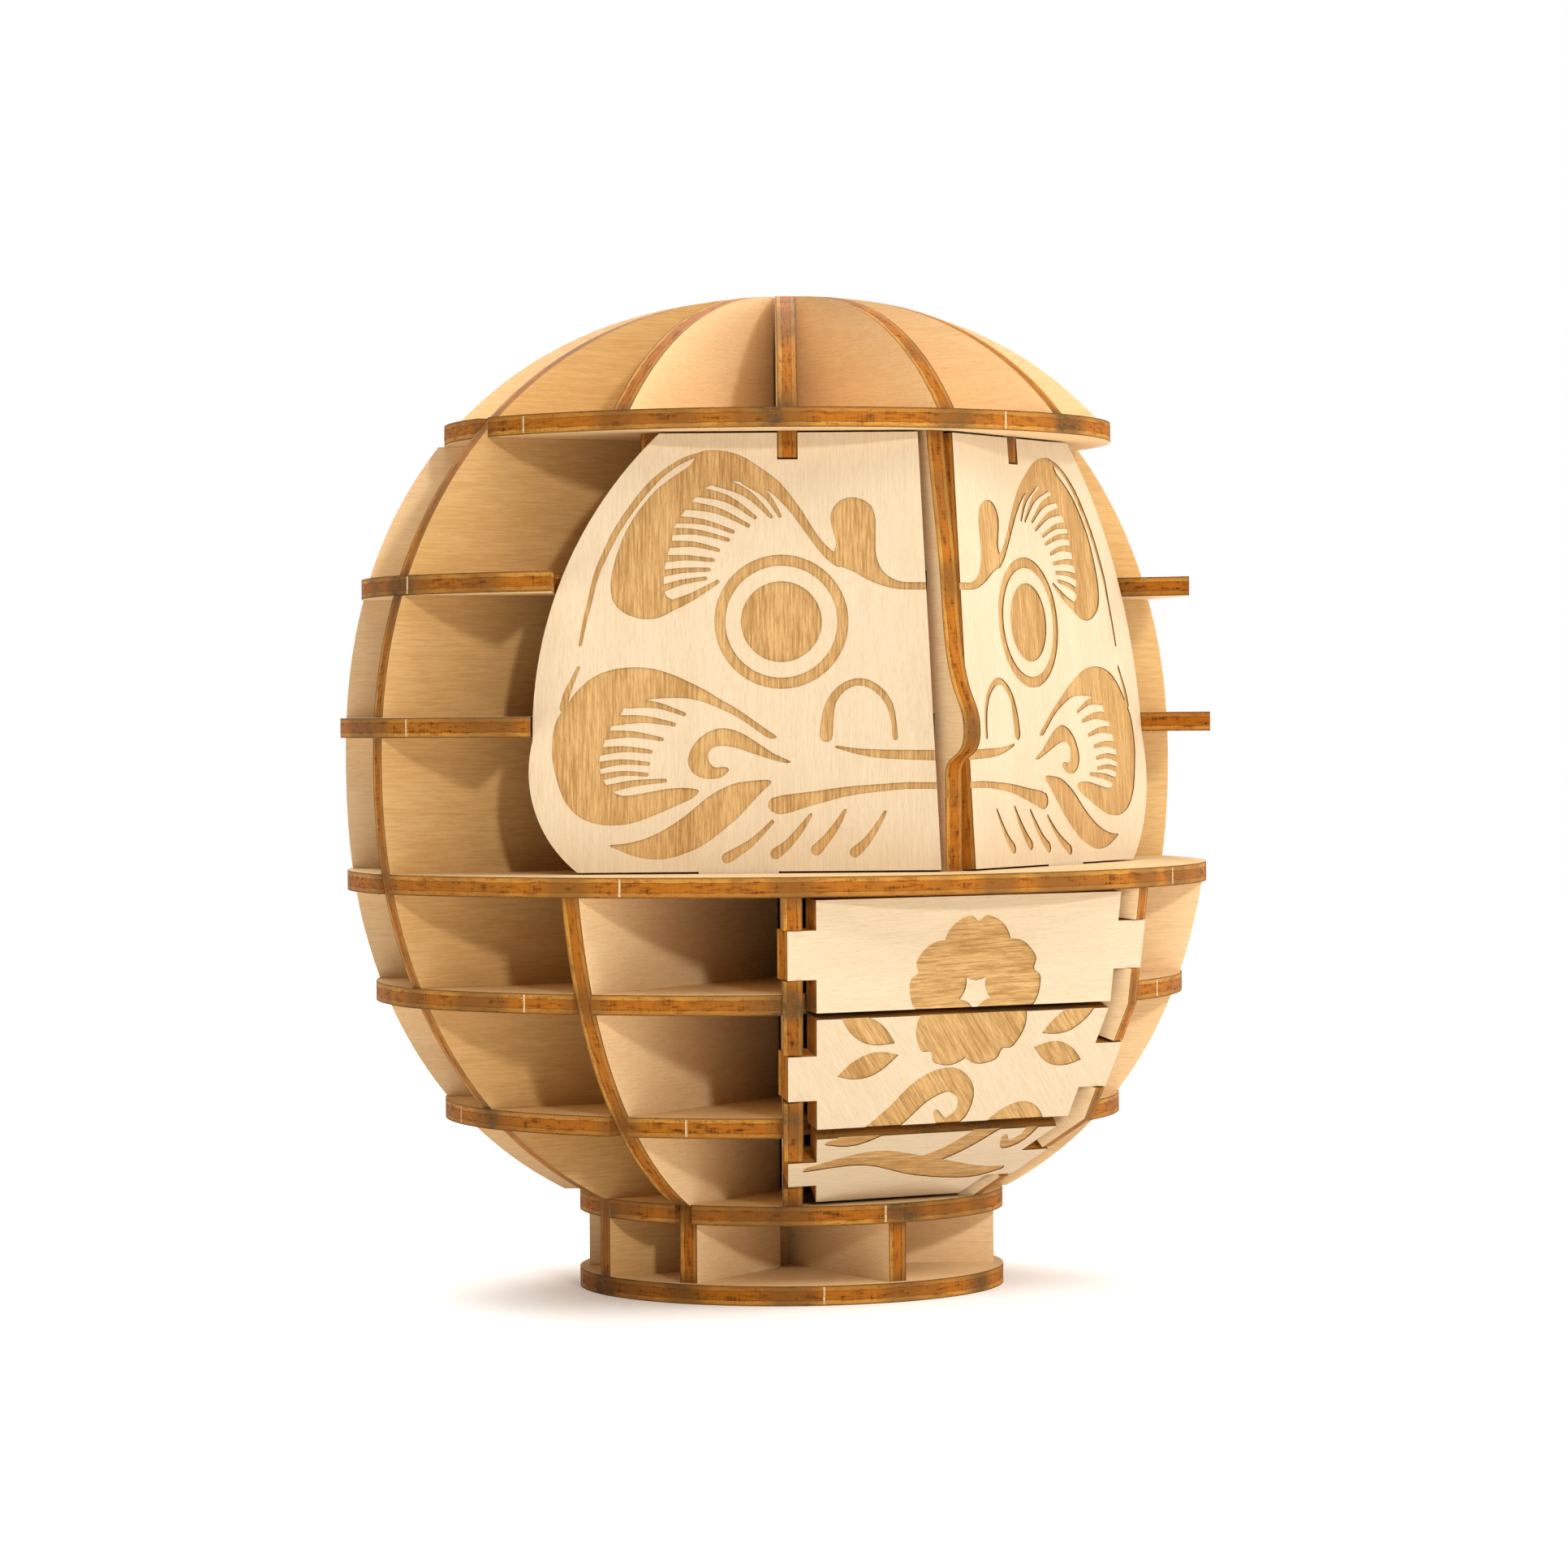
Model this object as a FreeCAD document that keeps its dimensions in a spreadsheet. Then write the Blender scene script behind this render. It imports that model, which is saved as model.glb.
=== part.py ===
"""A slot-together plywood daruma doll: flat sheets of one ply thickness that lock into each other.

Eight level plates are stacked on the Z axis. Two full-height sheets cross on the axis, one from side
to side and one from nose to back, and eight half ribs stand between them every 30 degrees. Every
crossing is a halving joint. Two leaning face panels form a shallow V beside the nose, and three belly
panels hang between the two front ribs.

The frame: +Z is up, the nose faces -Y, and the origin is the centre of the underside of the base.
A rib's angle is counted from the front (0) towards +X (90); 180 is the middle of the back.
"""
import FreeCAD, Part
import math
import os

from FreeCAD import Placement, Rotation, Vector

UP = Vector(0, 0, 1)

SIZES = [
    ("ply", 3.0, "thickness of every sheet"),
    ("fit", 0.03, "clearance on each side of a sheet in its slot"),
    ("level_foot", 12.0, "underside of the foot plate"),
    ("level_low", 26.6, "underside of the low plate"),
    ("level_belly", 45.2, "underside of the belly plate"),
    ("level_shelf", 62.4, "underside of the shelf below the face"),
    ("level_cheek", 85.8, "underside of the cheek plate"),
    ("level_temple", 107.1, "underside of the temple plate"),
    ("level_brow", 131.0, "underside of the brow plate"),
    ("meet_foot", 14.0, "radius where the two halves of a crossing meet, foot plate"),
    ("meet_low", 21.0, "the same, low plate"),
    ("meet_belly", 25.0, "the same, belly plate"),
    ("meet_shelf", 28.0, "the same, shelf"),
    ("meet_cheek", 26.0, "the same, cheek plate"),
    ("meet_temple", 24.0, "the same, temple plate"),
    ("meet_brow", 22.0, "the same, brow plate"),
    ("cross_height", 77.0, "height where the slots of the two full sheets meet"),
    ("hub_clear", 6.2, "radius kept free by the half ribs"),
    ("foot_radius", 33.1, "radius of the base and foot plates"),
    ("foot_inset", 1.5, "how far most ribs stand inside the foot plate's rim"),
    ("tab_inner", 15.5, "where the tab under a rib starts"),
    ("tab_outer", 25.5, "where the tab under a rib ends"),
    ("waist_height", 82.0, "height of the widest section"),
    ("crown_rise", 71.8, "from the widest section to the crown"),
    ("body_drop", 74.2, "from the widest section to where the egg shape would close"),
    ("half_width", 71.1, "largest reach to the side"),
    ("front_depth", 61.0, "largest reach to the front, without the nose"),
    ("back_depth", 67.0, "largest reach to the back"),
    ("side_power", 2.18, "roundness of the side outline below the widest section, 2 is an ellipse"),
    ("depth_power", 2.5, "the same, front and back outlines"),
    ("crown_side_power", 2.13, "roundness of the side outline above the widest section"),
    ("crown_depth_power", 2.4, "the same, front and back outlines"),
    ("rim_proud", 0.4, "how far a plate's rim stands outside the ribs"),
    ("face_turn", 30.0, "turn of each face panel away from the front"),
    ("face_low", 44.6, "distance of a face panel's front from the axis, at the shelf"),
    ("face_high", 39.6, "the same, under the brow plate"),
    ("face_gap", 0.3, "gap under a face panel, and at its back"),
    ("face_wide", 38.0, "outward reach of a face panel at its widest"),
    ("face_wide_rise", 20.0, "height of that place above the shelf"),
    ("face_top_wide", 19.0, "outward reach of a face panel's top edge"),
    ("face_foot_wide", 31.5, "outward reach of a face panel's bottom edge"),
    ("notch_depth", 4.0, "notch in a face panel's top edge, for the rib behind it"),
    ("lock_inner", 1.8, "outward reach where the tab under a face panel starts"),
    ("lock_outer", 13.6, "and where it ends"),
    ("chin_reach", 48.5, "reach of the nose sheet's edge under the nose"),
    ("nose_reach", 53.7, "reach of the nose tip"),
    ("nose_height", 86.2, "height of the nose tip"),
    ("bridge_reach", 43.9, "reach of the nose sheet's edge under the brow plate"),
    ("belly_top", 53.2, "distance of the belly's front from the axis, at the shelf"),
    ("belly_upper_bend", 51.4, "the same, where the upper and middle belly panels meet"),
    ("belly_lower_bend", 45.0, "the same, where the middle and lower belly panels meet"),
    ("belly_foot", 28.4, "the same, at the foot plate"),
    ("upper_bend_height", 44.9, "height of the upper bend"),
    ("lower_bend_height", 27.4, "height of the lower bend"),
    ("belly_setback", 5.6, "how far the nose sheet stays behind the belly's front"),
    ("panel_inset", 2.3, "gap between a belly panel's side and the rib beside it"),
    ("panel_joint", 0.5, "how far a belly panel's edge stays from the bend or plate beside it"),
    ("steep_joint", 1.1, "the same, top edge of the lower panel, which leans the most"),
    ("hook_short", 0.9, "how far a belly panel's hook stops short of the rib's far side"),
]

HALF_RIB_ANGLES = (30, 60, 120, 150)
LEVELS = ("foot", "low", "belly", "shelf", "cheek", "temple", "brow")
# Ribs whose outer edge runs on past a plate's rim; at every other crossing the rim runs on instead.
RIB_OUTSIDE = {
    "foot": (60, 90, 120),
    "low": (30, 60),
    "belly": (30, 60),
    "shelf": (90,),
    "cheek": (),
    "temple": (),
    "brow": (90,),
}
CURVE_POINTS = 9
FAR = 90.0
# Heights of the hooks of the three belly panels: upper, middle and lower panel, top and bottom.
HOOKS = {"upper": (57.5, 50.3), "middle": (39.0, 32.3), "lower": (22.4, 18.4)}

doc = FreeCAD.newDocument("daruma")
sheet = doc.addObject("Spreadsheet::Sheet", "Sizes")
parts = []


def fill_sheet():
    """Write every driving size and its meaning into the spreadsheet."""
    for row, (alias, value, meaning) in enumerate(SIZES, start=1):
        sheet.set("A%d" % row, meaning)
        sheet.set("B%d" % row, str(value))
        sheet.setAlias("B%d" % row, alias)
    doc.recompute()


def size(alias):
    return float(sheet.get(alias))


def bind(thing, **formulas):
    """Bind properties to formulas; a double underscore in a name stands for a dot."""
    for name, formula in formulas.items():
        thing.setExpression(name.replace("__", "."), formula)


def finish(thing, label):
    """Give a finished sub-part its name and put it on the list to be written."""
    thing.Label = label
    parts.append(thing)


# ---------------------------------------------------------------- the egg shape

def egg_reach(outline_name, z):
    """Reach of the front, side or back outline of the egg at a height."""
    above = z - size("waist_height")
    kind = "side" if outline_name == "half_width" else "depth"
    power = size(("crown_%s_power" if above > 0 else "%s_power") % kind)
    span = size("crown_rise") if above > 0 else size("body_drop")
    share = min(1.0, abs(above) / span)
    return size(outline_name) * (1.0 - share ** power) ** (1.0 / power)


def body_reach(angle, z):
    """Reach of the egg at an angle. A level section is two arcs that meet at the sides: one through
    the front point and one through the back point."""
    turn = math.radians(angle)
    side = egg_reach("half_width", z)
    depth = egg_reach("front_depth" if math.cos(turn) > 0 else "back_depth", z)
    if depth < 1e-6:
        return 0.0
    offset = (side ** 2 - depth ** 2) / (2 * depth)
    radius = offset + depth
    return math.sqrt(radius ** 2 - (offset * math.sin(turn)) ** 2) - offset * abs(math.cos(turn))


def egg_curve(angle, bottom, top):
    """The egg's outline in a rib's plane from one height to another, bottom first."""
    waist, rise = size("waist_height"), size("crown_rise")
    start = math.asin(max(-1.0, (bottom - waist) / rise))
    stop = math.asin(min(1.0, (top - waist) / rise))
    points = []
    for step in range(CURVE_POINTS):
        z = waist + rise * math.sin(start + (stop - start) * step / (CURVE_POINTS - 1))
        points.append(Vector(body_reach(angle, z), 0, z))
    curve = Part.BSplineCurve()
    curve.interpolate(points)
    return curve.toShape()


def belly_front(z):
    """Distance of the faceted belly's front from the axis at a height."""
    knots = [
        (size("level_foot") + size("ply"), size("belly_foot")),
        (size("lower_bend_height"), size("belly_lower_bend")),
        (size("upper_bend_height"), size("belly_upper_bend")),
        (size("level_shelf"), size("belly_top")),
    ]
    for (z0, front0), (z1, front1) in zip(knots, knots[1:]):
        if z <= z1 or (z1, front1) == knots[-1]:
            return front0 + (front1 - front0) * (z - z0) / (z1 - z0)


def face_front(z):
    """Distance of a face panel's front from the axis at a height."""
    low, high = size("level_shelf") + size("ply"), size("level_brow")
    return size("face_low") + (size("face_high") - size("face_low")) * (z - low) / (high - low)


# ---------------------------------------------------------------- outlines of the upright sheets

def lines(points):
    """Straight edges through points given as (reach, height)."""
    spots = [Vector(x, 0, z) for x, z in points]
    return [Part.makeLine(a, b) for a, b in zip(spots, spots[1:])]


def chain(start, pieces):
    """Join open edge lists end to end with straight links, from a start point on the axis and back."""
    edges = []
    here = Vector(start[0], 0, start[1])
    for piece in pieces:
        first = piece[0].Vertexes[0].Point
        if first.distanceToPoint(here) > 1e-6:
            edges.append(Part.makeLine(here, first))
        edges.extend(piece)
        here = piece[-1].Vertexes[-1].Point
    return edges, here


def foot_edges(angle):
    """The bottom of a rib: its tab, and its foot if it has one. Front ribs at 30 stand on the foot plate."""
    on_base = angle not in (30, 150)
    floor = 0.0 if on_base else size("level_foot")
    ply, top = size("ply"), size("level_foot") + size("ply")
    reach = size("foot_radius") - (0.0 if angle == 90 else size("foot_inset"))
    points = [(size("tab_inner"), floor + ply), (size("tab_inner"), floor)]
    points += [(size("tab_outer"), floor), (size("tab_outer"), floor + ply)]
    if on_base:
        points += [(reach, ply), (reach, top)]
    return lines(points)


def face_setback(angle):
    """Edge of a rib behind a face panel, with the nib that fills the panel's notch at 30."""
    shelf_top, brow = size("level_shelf") + size("ply"), size("level_brow")
    lean = abs(angle - size("face_turn"))
    behind = size("ply") + size("face_gap") + size("ply") / 2 * math.sin(math.radians(lean))
    edge = [((face_front(z) - behind) / math.cos(math.radians(lean)), z) for z in (shelf_top, brow)]
    if lean:
        return lines(edge)
    nib = brow - size("notch_depth")
    tip = face_front(brow) - size("fit")
    return lines([edge[0], (face_front(nib) - behind, nib), (tip, nib), (tip, brow)])


def nose_edges():
    """The nose sheet's front edge, from the shelf to the brow plate."""
    shelf_top, brow = size("level_shelf") + size("ply"), size("level_brow")
    chin, nose, tip_z = size("chin_reach"), size("nose_reach"), size("nose_height")
    bridge = size("bridge_reach")
    under = tip_z - 6.7
    philtrum = Part.BSplineCurve()
    philtrum.interpolate([Vector(chin, 0, under), Vector(nose - 1.4, 0, tip_z - 3.0), Vector(nose, 0, tip_z)],
                         InitialTangent=Vector(0, 0, 1), FinalTangent=Vector(0, 0, 1))
    ridge = Part.BSplineCurve()
    ridge.interpolate([Vector(nose, 0, tip_z), Vector(nose - 2.3, 0, tip_z + 5.5),
                       Vector(nose - 6.3, 0, tip_z + 23.5), Vector(bridge, 0, brow)],
                      InitialTangent=Vector(0, 0, 1), FinalTangent=Vector(-0.12, 0, 1))
    return lines([(chin, shelf_top), (chin, under)]) + [philtrum.toShape(), ridge.toShape()]


def front_of_belly(angle):
    """The part of a rib below the shelf."""
    bottom, shelf = size("level_foot") + size("ply"), size("level_shelf")
    heights = (bottom, size("lower_bend_height"), size("upper_bend_height"), shelf)
    if angle == 0:
        return lines([(belly_front(z) - size("belly_setback"), z) for z in heights])
    if angle == 30:
        slant = math.cos(math.radians(angle))
        return lines([(belly_front(z) / slant, z) for z in heights])
    return [egg_curve(angle, bottom, shelf)]


def half_outline(angle):
    """Edges of a rib from the axis out, up and back to the axis at the crown."""
    shelf, brow = size("level_shelf"), size("level_brow")
    crown = size("waist_height") + size("crown_rise")
    start_z = size("ply") if angle not in (30, 150) else size("level_foot") + size("ply")
    pieces = [foot_edges(angle), front_of_belly(angle)]
    if angle == 0:
        pieces.append(nose_edges())
    elif angle in (30, 60):
        pieces.append(face_setback(angle))
    else:
        pieces.append([egg_curve(angle, shelf, brow)])
    pieces.append([egg_curve(angle, brow, crown)])
    edges, _ = chain((0.0, start_z), pieces)
    return edges, start_z, crown


def mirrored(edges):
    """The same edges on the other side of the axis, in reverse order."""
    flip = FreeCAD.Matrix()
    flip.A11 = -1
    return [edge.transformGeometry(flip) for edge in reversed(edges)]


def face_of(edges):
    wire = Part.Wire(Part.__sortEdges__(edges))
    return Part.Face(wire)


# ---------------------------------------------------------------- building blocks

def outline(name, shape):
    """An outline that the sheet's sizes shape through the formulas above."""
    thing = doc.addObject("Part::Feature", name)
    thing.Shape = shape
    return thing


def upright_sheet(name, shape):
    """A sheet of ply whose middle plane is the outline's XZ plane."""
    sheet_of_ply = doc.addObject("Part::Extrusion", name + "_blank")
    sheet_of_ply.Base = outline(name + "_outline", shape)
    sheet_of_ply.DirMode = "Custom"
    sheet_of_ply.Dir = Vector(0, 1, 0)
    sheet_of_ply.Solid = True
    bind(sheet_of_ply, LengthFwd="Sizes.ply / 2", LengthRev="Sizes.ply / 2")
    return sheet_of_ply


def flat_sheet(name, shape):
    """A level sheet of ply standing on the outline's XY plane."""
    sheet_of_ply = doc.addObject("Part::Extrusion", name + "_blank")
    sheet_of_ply.Base = outline(name + "_outline", shape)
    sheet_of_ply.DirMode = "Custom"
    sheet_of_ply.Dir = UP
    sheet_of_ply.Solid = True
    bind(sheet_of_ply, LengthFwd="Sizes.ply")
    return sheet_of_ply


def cut_all(name, base, tools):
    """The base with every tool taken away."""
    union = doc.addObject("Part::MultiFuse", name + "_slots")
    union.Shapes = tools
    result = doc.addObject("Part::Cut", name)
    result.Base = base
    result.Tool = union
    return result


def rib_slot(name, level, start, stop, half):
    """A slot in an upright sheet for a level plate, between two reaches, in its front (1) or rear (-1) half."""
    if half < 0:
        start, stop = "-(%s)" % stop, "-(%s)" % start
    box = doc.addObject("Part::Box", name)
    bind(box, Length="%s - (%s)" % (stop, start), Width="Sizes.ply * 2",
         Height="Sizes.ply + 2 * Sizes.fit", Placement__Base__x=start,
         Placement__Base__y="-Sizes.ply", Placement__Base__z="Sizes.level_%s - Sizes.fit" % level)
    return box


def rib_slots(name, angle, half=1):
    """All slots of a half rib, or of one half of a full sheet."""
    slots = []
    for level in LEVELS:
        stands_on_plate = level == "foot" and angle in (30, 150)
        if stands_on_plate:
            continue
        meet = "Sizes.meet_%s" % level
        if angle in RIB_OUTSIDE[level]:
            slots.append(rib_slot("%s_%s" % (name, level), level, "-Sizes.ply / 2", meet, half))
            continue
        behind_face = angle == 0 and level in ("cheek", "temple")
        stop = recess_ridge(level) + size("fit") if behind_face else FAR
        slots.append(rib_slot("%s_%s" % (name, level), level, meet, str(stop), half))
    return slots


def plate_slot(name, angle, start, stop, width="Sizes.ply + 2 * Sizes.fit"):
    """A slot through a level plate for the sheet at an angle, between two reaches."""
    turn = angle - 90
    box = doc.addObject("Part::Box", name)
    box.Placement = Placement(Vector(), Rotation(UP, turn))
    bind(box, Length="%s - (%s)" % (stop, start), Width=width, Height="Sizes.ply * 3",
         Placement__Base__x="(%s) * cos(%s) + (%s) / 2 * sin(%s)" % (start, turn, width, turn),
         Placement__Base__y="(%s) * sin(%s) - (%s) / 2 * cos(%s)" % (start, turn, width, turn),
         Placement__Base__z="-Sizes.ply")
    return box


# ---------------------------------------------------------------- level plates

def plate_outline(level):
    """A front arc and a back arc. Below the waist they follow the egg at the plate's upper face,
    above the waist at the middle of its thickness."""
    bottom, ply = size("level_" + level), size("ply")
    height = bottom + (ply if bottom < size("waist_height") else ply / 2)
    side, front, back = [body_reach(angle, height) + size("rim_proud") for angle in (90, 0, 180)]
    left, right = Vector(-side, 0, 0), Vector(side, 0, 0)
    front_arc = Part.Arc(left, Vector(0, -front, 0), right)
    back_arc = Part.Arc(right, Vector(0, back, 0), left)
    return face_of([front_arc.toShape(), back_arc.toShape()])


def recess_near(level):
    """Distance from the axis to the planes behind the face panels, where a plate stops."""
    top = size("level_" + level) + size("ply")
    return face_front(top) - size("ply") - size("face_gap")


def recess_ridge(level):
    """Reach of the ridge between those two planes."""
    return recess_near(level) / math.cos(math.radians(size("face_turn")))


def face_recess(level):
    """The opening in front of the face: a V behind the panels with sides square to them."""
    turn = math.radians(size("face_turn"))
    bottom = size("level_" + level)
    near = recess_near(level)
    wide = max(face_half_width(bottom), face_half_width(bottom + size("ply"))) + size("face_gap")
    normal = (math.sin(turn), -math.cos(turn))
    outward = (math.cos(turn), math.sin(turn))
    corner = [near * n + wide * o for n, o in zip(normal, outward)]
    far = [c + FAR * n for c, n in zip(corner, normal)]
    ridge = -recess_ridge(level)
    spots = [Vector(0, ridge, 0), Vector(corner[0], corner[1], 0), Vector(far[0], far[1], 0),
             Vector(-far[0], far[1], 0), Vector(-corner[0], corner[1], 0), Vector(0, ridge, 0)]
    return recess_tool(level, spots)


def belly_recess(level):
    """The opening in front of the belly: the wedge between the two front ribs, behind the panels."""
    bottom = size("level_" + level)
    backs = []
    for z in (bottom, bottom + size("ply")):
        slope = belly_front(z + 0.1) - belly_front(z)
        backs.append(belly_front(z) - size("ply") * math.hypot(1.0, slope / 0.1))
    near = min(backs) - size("face_gap")
    spread = math.tan(math.radians(size("face_turn")))
    spots = [Vector(-near * spread, -near, 0), Vector(near * spread, -near, 0),
             Vector(FAR * spread, -FAR, 0), Vector(-FAR * spread, -FAR, 0), Vector(-near * spread, -near, 0)]
    return recess_tool(level, spots)


def recess_tool(level, spots):
    """A cutter through a level plate, from a closed ring of points."""
    tool = doc.addObject("Part::Extrusion", level + "_recess")
    tool.Base = outline(level + "_recess_outline", Part.Face(Part.makePolygon(spots)))
    tool.DirMode = "Custom"
    tool.Dir = UP
    tool.Solid = True
    bind(tool, LengthFwd="Sizes.ply * 2", LengthRev="Sizes.ply")
    return tool


def all_angles(angles):
    """Every angle on both sides, with the front and back sheets once."""
    both = []
    for angle in angles:
        both.append(angle)
        if angle not in (0, 180):
            both.append(-angle)
    return both


def plate_slots(level):
    """The slots of one level plate, for every sheet that crosses it."""
    slots = []
    meet = "Sizes.meet_%s" % level
    for angle in all_angles((0, 30, 60, 90, 120, 150, 180)):
        name = "%s_at_%s" % (level, str(angle).replace("-", "left_"))
        if level == "foot" and abs(angle) in (30, 150):
            slots.append(plate_slot(name, angle, "Sizes.tab_inner - Sizes.fit", "Sizes.tab_outer + Sizes.fit"))
        elif abs(angle) in RIB_OUTSIDE[level]:
            slots.append(plate_slot(name, angle, meet, str(FAR)))
        else:
            slots.append(plate_slot(name, angle, "-Sizes.ply / 2", meet))
    return slots


def face_locks():
    """The two slots in the shelf for the tabs under the face panels."""
    locks = []
    turn, ply = size("face_turn"), size("ply")
    for side in (-1, 1):
        box = doc.addObject("Part::Box", "face_lock_%s" % ("left" if side < 0 else "right"))
        near = face_front(size("level_shelf")) - ply - size("face_gap")
        first = size("lock_inner") if side > 0 else -size("lock_outer")
        spin = Rotation(UP, side * turn)
        corner = spin.multVec(Vector(first - size("fit"), -near - ply - 2 * size("face_gap"), 0))
        box.Placement = Placement(Vector(corner.x, corner.y, -ply), spin)
        bind(box, Length="Sizes.lock_outer - Sizes.lock_inner + 2 * Sizes.fit",
             Width="Sizes.ply + 2 * Sizes.face_gap", Height="Sizes.ply * 3")
        locks.append(box)
    return locks


def make_level_plate(level, label):
    """A level plate between the foot and the crown."""
    tools = plate_slots(level)
    if level == "foot":
        blank = doc.addObject("Part::Cylinder", "foot_blank")
        bind(blank, Radius="Sizes.foot_radius", Height="Sizes.ply")
    else:
        blank = flat_sheet(level, plate_outline(level))
    if level in ("cheek", "temple"):
        tools.append(face_recess(level))
    if level in ("low", "belly"):
        tools.append(belly_recess(level))
    if level == "shelf":
        tools.extend(face_locks())
    plate = cut_all(level + "_plate", blank, tools)
    bind(plate, Placement__Base__z="Sizes.level_%s" % level)
    finish(plate, label)


def make_base():
    """The round base, with closed slots for the tabs of the eight feet."""
    blank = doc.addObject("Part::Cylinder", "base_blank")
    bind(blank, Radius="Sizes.foot_radius", Height="Sizes.ply")
    slots = []
    for angle in all_angles((0, 60, 90, 120, 180)):
        name = "base_at_%s" % str(angle).replace("-", "left_")
        slots.append(plate_slot(name, angle, "Sizes.tab_inner - Sizes.fit", "Sizes.tab_outer + Sizes.fit"))
    finish(cut_all("base", blank, slots), "base_disc")


# ---------------------------------------------------------------- upright sheets

def axis_slot(name, from_top):
    """The slot on the axis where the two full sheets slide into each other."""
    box = doc.addObject("Part::Box", name)
    bind(box, Length="Sizes.ply + 2 * Sizes.fit", Width="Sizes.ply * 2",
         Placement__Base__x="-Sizes.ply / 2 - Sizes.fit", Placement__Base__y="-Sizes.ply")
    if from_top:
        bind(box, Height="Sizes.crown_rise + Sizes.waist_height", Placement__Base__z="Sizes.cross_height")
    else:
        bind(box, Height="Sizes.cross_height + 2 * Sizes.fit", Placement__Base__z="-2 * Sizes.fit")
    return box


def make_full_sheet(name, label, front, back, from_top):
    """A full-height sheet through the axis: one half at the front angle, the other at the back angle."""
    first, start_z, crown = half_outline(front)
    second, _, _ = half_outline(back)
    blank = upright_sheet(name, face_of(first + mirrored(second)))
    tools = rib_slots(name, front) + rib_slots(name + "_rear", back, half=-1)
    tools.append(axis_slot(name + "_axis_slot", from_top))
    result = cut_all(name, blank, tools)
    result.Placement = Placement(Vector(), Rotation(UP, front - 90))
    finish(result, label)


def hook_notch(name, part_of_belly):
    """The notch in a front rib for one belly panel's hook, open to the front."""
    top, bottom = HOOKS[part_of_belly]
    slope = (belly_front(top) - belly_front(bottom)) / (top - bottom)
    steep = math.hypot(1.0, slope)
    out = (1.0 / steep, -slope / steep)
    slant = math.cos(math.radians(size("face_turn")))
    lip = size("ply") / 2 * math.sin(math.radians(size("face_turn")))
    depth = size("ply") + size("fit") + lip / steep
    room = size("fit") + lip * abs(slope) / steep
    spots = []
    for z, side in ((top, 1), (bottom, -1)):
        front = (belly_front(z) + side * room * slope / steep, z + side * room / steep)
        back, ahead = [(front[0] + way * depth * out[0], front[1] + way * depth * out[1]) for way in (-1, 1)]
        spots.append([Vector(back[0] / slant, 0, back[1]), Vector(ahead[0] / slant, 0, ahead[1])])
    corners = [spots[0][0], spots[0][1], spots[1][1], spots[1][0], spots[0][0]]
    tool = doc.addObject("Part::Extrusion", name)
    tool.Base = outline(name + "_outline", Part.Face(Part.makePolygon(corners)))
    tool.DirMode = "Custom"
    tool.Dir = Vector(0, 1, 0)
    tool.Solid = True
    bind(tool, LengthFwd="Sizes.ply", LengthRev="Sizes.ply")
    return tool


def make_half_rib(angle, side):
    """A half rib between the two full sheets, on the left (-1) or right (1)."""
    where = "front" if angle < 90 else "back"
    hand = "left" if side < 0 else "right"
    name = "rib_%s_%d_%s" % (where, angle, hand)
    edges, start_z, crown = half_outline(angle)
    edges.append(Part.makeLine(Vector(0, 0, crown), Vector(0, 0, start_z)))
    blank = upright_sheet(name, face_of(edges))
    tools = rib_slots(name, angle)
    hub = doc.addObject("Part::Box", name + "_hub")
    bind(hub, Length="Sizes.hub_clear + 1", Width="Sizes.ply * 2", Placement__Base__x="-1",
         Height="Sizes.waist_height + Sizes.crown_rise + 2", Placement__Base__y="-Sizes.ply",
         Placement__Base__z="-1")
    tools.append(hub)
    if angle == 30:
        tools += [hook_notch("%s_%s_notch" % (name, which), which) for which in HOOKS]
    result = cut_all(name, blank, tools)
    result.Placement = Placement(Vector(), Rotation(UP, side * angle - 90))
    finish(result, name)


# ---------------------------------------------------------------- face panels

def face_half_width(z):
    """Outward reach of a face panel's curved side at a height, read off its outline."""
    lean = face_lean()
    low = size("level_shelf") + size("ply")
    rise = (z - low) / math.cos(lean)
    probe = Part.makeLine(Vector(0, 0, rise), Vector(FAR, 0, rise))
    return max(probe.distToShape(arc)[1][0][0].x for arc in face_side_arcs()
               if probe.distToShape(arc)[0] < 1e-6)


def face_lean():
    """Lean of the face panels away from upright, in radians."""
    low, high = size("level_shelf") + size("ply"), size("level_brow")
    return math.atan2(size("face_low") - size("face_high"), high - low)


def face_rise():
    """Height of a face panel along its own lean."""
    return (size("level_brow") - size("level_shelf") - size("ply")) / math.cos(face_lean()) - size("face_gap")


def face_side_arcs():
    """The two arcs of a face panel's curved side: jaw first, then cheek and temple."""
    gap, rise = size("face_gap"), face_rise()
    wide, wide_rise = size("face_wide"), size("face_wide_rise")
    foot, top = size("face_foot_wide"), size("face_top_wide")
    jaw = Part.Arc(Vector(foot, 0, gap), Vector(wide - 1.1, 0, wide_rise * 0.36), Vector(wide, 0, wide_rise))
    temple = Part.Arc(Vector(wide, 0, wide_rise), Vector(wide - 4.4, 0, wide_rise + 24.0), Vector(top, 0, rise))
    return [jaw.toShape(), temple.toShape()]


def face_inner_reach(z):
    """Reach of a panel's inner edge, where its back corner meets the nose sheet."""
    turn = math.radians(size("face_turn"))
    back = face_front(z) - size("ply")
    return (size("ply") / 2 + size("fit") - math.sin(turn) * back) / math.cos(turn)


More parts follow.
